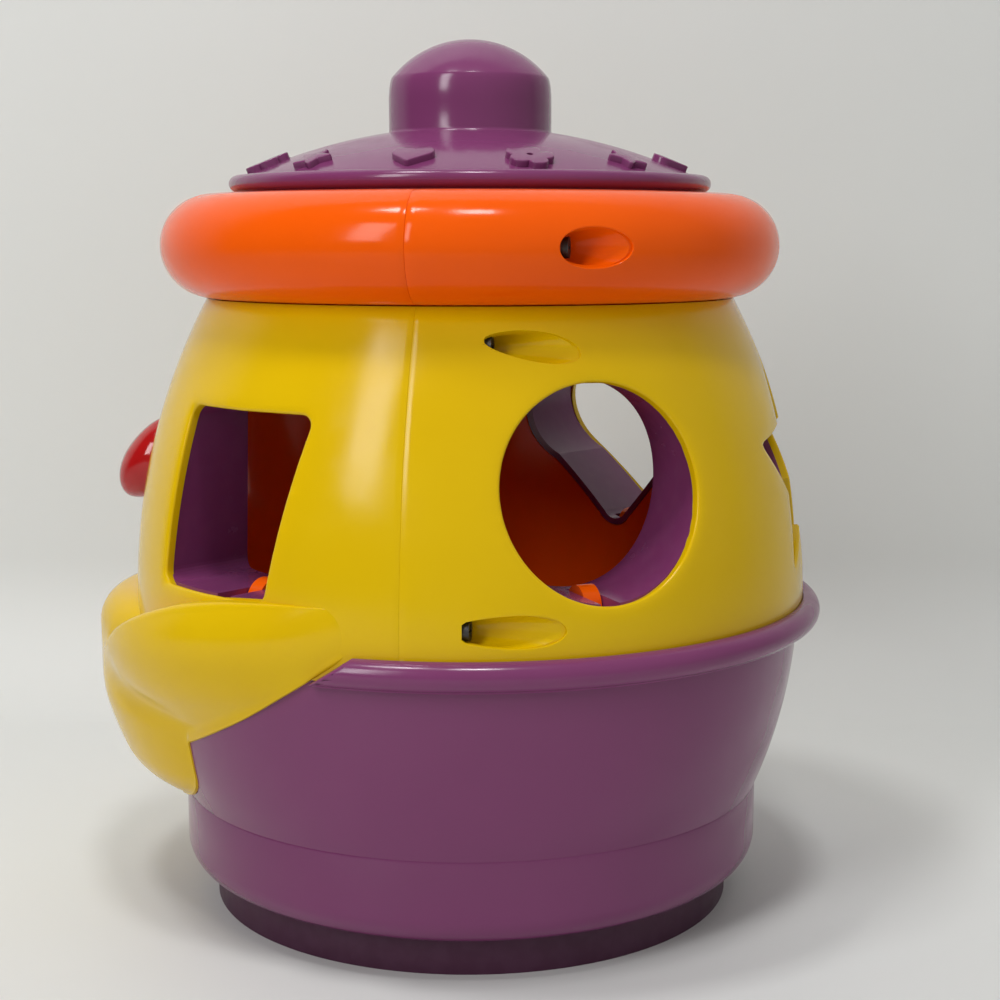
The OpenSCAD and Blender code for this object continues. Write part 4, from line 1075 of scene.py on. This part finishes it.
def nose_button():
    """Press-in nose: a round neck in the shell's hole and a dome that droops."""
    section = [(0.0, -4.0), (NOSE_R - 0.2, -4.0), (NOSE_R, -3.6), (NOSE_R, NOSE_NECK - 1)]
    for u, v in arc(0, 0, 1, 0, 90, 18):
        section.append((NOSE_R * u, NOSE_NECK + (NOSE_H - NOSE_NECK) * v))
    nose = draw_section("nose_ball", section)
    turn(nose, 360, 96)
    mesh = bmesh.from_edit_mesh(nose.data)
    for vert in mesh.verts:
        vert.co.y -= NOSE_DROOP * 0.001 * smooth(vert.co.z * 1000, NOSE_NECK / 2, NOSE_H + 1)
    bmesh.update_edit_mesh(nose.data)
    put_down()
    nose.rotation_euler = (math.pi / 2 - math.asin((NOSE_Z - RIM_Z) / BARREL_ARC), 0, 0)
    nose.location = mm(0, -barrel_at(NOSE_Z), NOSE_Z)
    return settle(nose, 40)


def wear_finish(piece, material, body, slot, *nodes):
    piece.data.materials.clear()
    piece.data.materials.append(material)
    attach(piece, body)
    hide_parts(*nodes)


wear_finish(back_shell(), YELLOW, "jar", "yellow", "back_shell")
wear_finish(front_shell(), YELLOW, "jar", "yellow", "front_shell")
wear_finish(base_tub(), PURPLE, "jar", "purple", "base_tub")
wear_finish(front_ring(), ORANGE, "jar", "orange", "front_ring")
wear_finish(back_ring(), ORANGE, "jar", "orange", "back_ring")
wear_finish(lid_dome(), PURPLE, "lid", "purple", "lid_dome")
wear_finish(lid_knob(), PURPLE, "lid", "purple", "lid_knob")
wear_finish(nose_button(), RED, "nose", "red", "nose_button")


# Light, floor and camera

CAMERA = (0.5442, 0.1009, 0.2043)
HEADING = math.atan2(-CAMERA[1], -CAMERA[0]) - math.radians(0.939)


def paper(name, see_through):
    """Pale matt paper; the wall's is clear from behind, so that it hides nothing from other sides."""
    material = bpy.data.materials.new(name)
    material.use_nodes = True
    tree = material.node_tree
    shader = tree.nodes["Principled BSDF"]
    coords = tree.nodes.new("ShaderNodeTexCoord").outputs["Object"]
    tone = tree.nodes.new("ShaderNodeValToRGB")
    tone.color_ramp.elements[0].color = (0.72, 0.73, 0.715, 1)
    tone.color_ramp.elements[1].color = (0.75, 0.76, 0.745, 1)
    tree.links.new(value_noise(tree, coords, 3, 3).outputs["Fac"], tone.inputs["Fac"])
    tree.links.new(tone.outputs["Color"], shader.inputs["Base Color"])
    shader.inputs["Roughness"].default_value = 0.6
    if see_through:
        both = tree.nodes.new("ShaderNodeMixShader")
        tree.links.new(tree.nodes.new("ShaderNodeNewGeometry").outputs["Backfacing"], both.inputs["Fac"])
        tree.links.new(shader.outputs["BSDF"], both.inputs[1])
        tree.links.new(tree.nodes.new("ShaderNodeBsdfTransparent").outputs["BSDF"], both.inputs[2])
        tree.links.new(both.outputs["Shader"], tree.nodes["Material Output"].inputs["Surface"])
    return material


def sweep():
    """A pale floor, and a wall that bends up from it close behind the jar."""
    put_down()
    bpy.ops.mesh.primitive_plane_add(size=6)
    floor = bpy.context.object
    floor.name = "studio_floor"
    floor.data.materials.append(paper("floor_paper", False))
    line = arc(180, 60.05, 60, -90, 0, 16) + [(240, 500), (240, 1500)]
    wall = draw_section("studio_wall", line, closed=False)
    bpy.ops.mesh.select_all(action="SELECT")
    bpy.ops.mesh.extrude_region_move(TRANSFORM_OT_translate={"value": (0, 5, 0)})
    bpy.ops.mesh.select_all(action="SELECT")
    bpy.ops.transform.translate(value=(0, -2.5, 0))
    bpy.ops.mesh.normals_make_consistent(inside=False)
    if any(face.normal.x > 0.9 for face in bmesh.from_edit_mesh(wall.data).faces):
        bpy.ops.mesh.flip_normals()
    put_down()
    wall.rotation_euler = (0, 0, HEADING)
    wall.data.materials.append(paper("wall_paper", True))
    settle(wall, 60)


def studio():
    sweep()
    world = bpy.data.worlds.new("studio_air")
    world.use_nodes = True
    bpy.context.scene.world = world
    back = world.node_tree.nodes["Background"]
    air = world.node_tree
    around = air.nodes.new("ShaderNodeSeparateXYZ")
    air.links.new(air.nodes.new("ShaderNodeTexCoord").outputs["Generated"], around.inputs["Vector"])
    shade = air.nodes.new("ShaderNodeValToRGB")
    shade.color_ramp.elements[0].color = (0.11, 0.11, 0.108, 1)
    shade.color_ramp.elements[1].color = (0.38, 0.38, 0.37, 1)
    air.links.new(ramp(air, around.outputs["Y"], -0.9, 0.6), shade.inputs["Fac"])
    seen = air.nodes.new("ShaderNodeMix")
    seen.data_type = "RGBA"
    seen.inputs["B"].default_value = (0.60, 0.60, 0.585, 1)
    air.links.new(air.nodes.new("ShaderNodeLightPath").outputs["Is Camera Ray"], seen.inputs["Factor"])
    air.links.new(shade.outputs["Color"], seen.inputs["A"])
    air.links.new(seen.outputs["Result"], back.inputs["Color"])
    back.inputs["Strength"].default_value = 1.0

    def lamp(name, at, aim, size, power):
        put_down()
        bpy.ops.object.light_add(type="AREA", location=at)
        light = bpy.context.object
        light.name = name
        light.data.shape = "RECTANGLE"
        light.data.size, light.data.size_y = size
        light.data.energy = power
        light.rotation_euler = (Vector(aim) - Vector(at)).to_track_quat("-Z", "Y").to_euler()
        return light

    lamp("front_top_lamp", (0.30, -0.28, 1.33), (0, 0, 0.1), (0.18, 0.18), 3.9)
    lamp("side_top_lamp", (0.40, 0.10, 1.33), (0, 0, 0.1), (0.18, 0.18), 3.9)
    lamp("side_softbox", (1.12, -0.56, 0.85), (0, 0, 0.14), (0.28, 0.80), 7.0)

    bpy.ops.object.camera_add(location=CAMERA)
    camera = bpy.context.object
    camera.name = "photo_camera"
    camera.rotation_euler = (math.radians(90 - 8.45), 0, HEADING - math.pi / 2)
    camera.data.sensor_width = 36
    camera.data.lens = 64.08
    camera.data.clip_start, camera.data.clip_end = 0.01, 50
    bpy.context.scene.camera = camera


studio()
bpy.context.scene.view_settings.view_transform = "Standard"
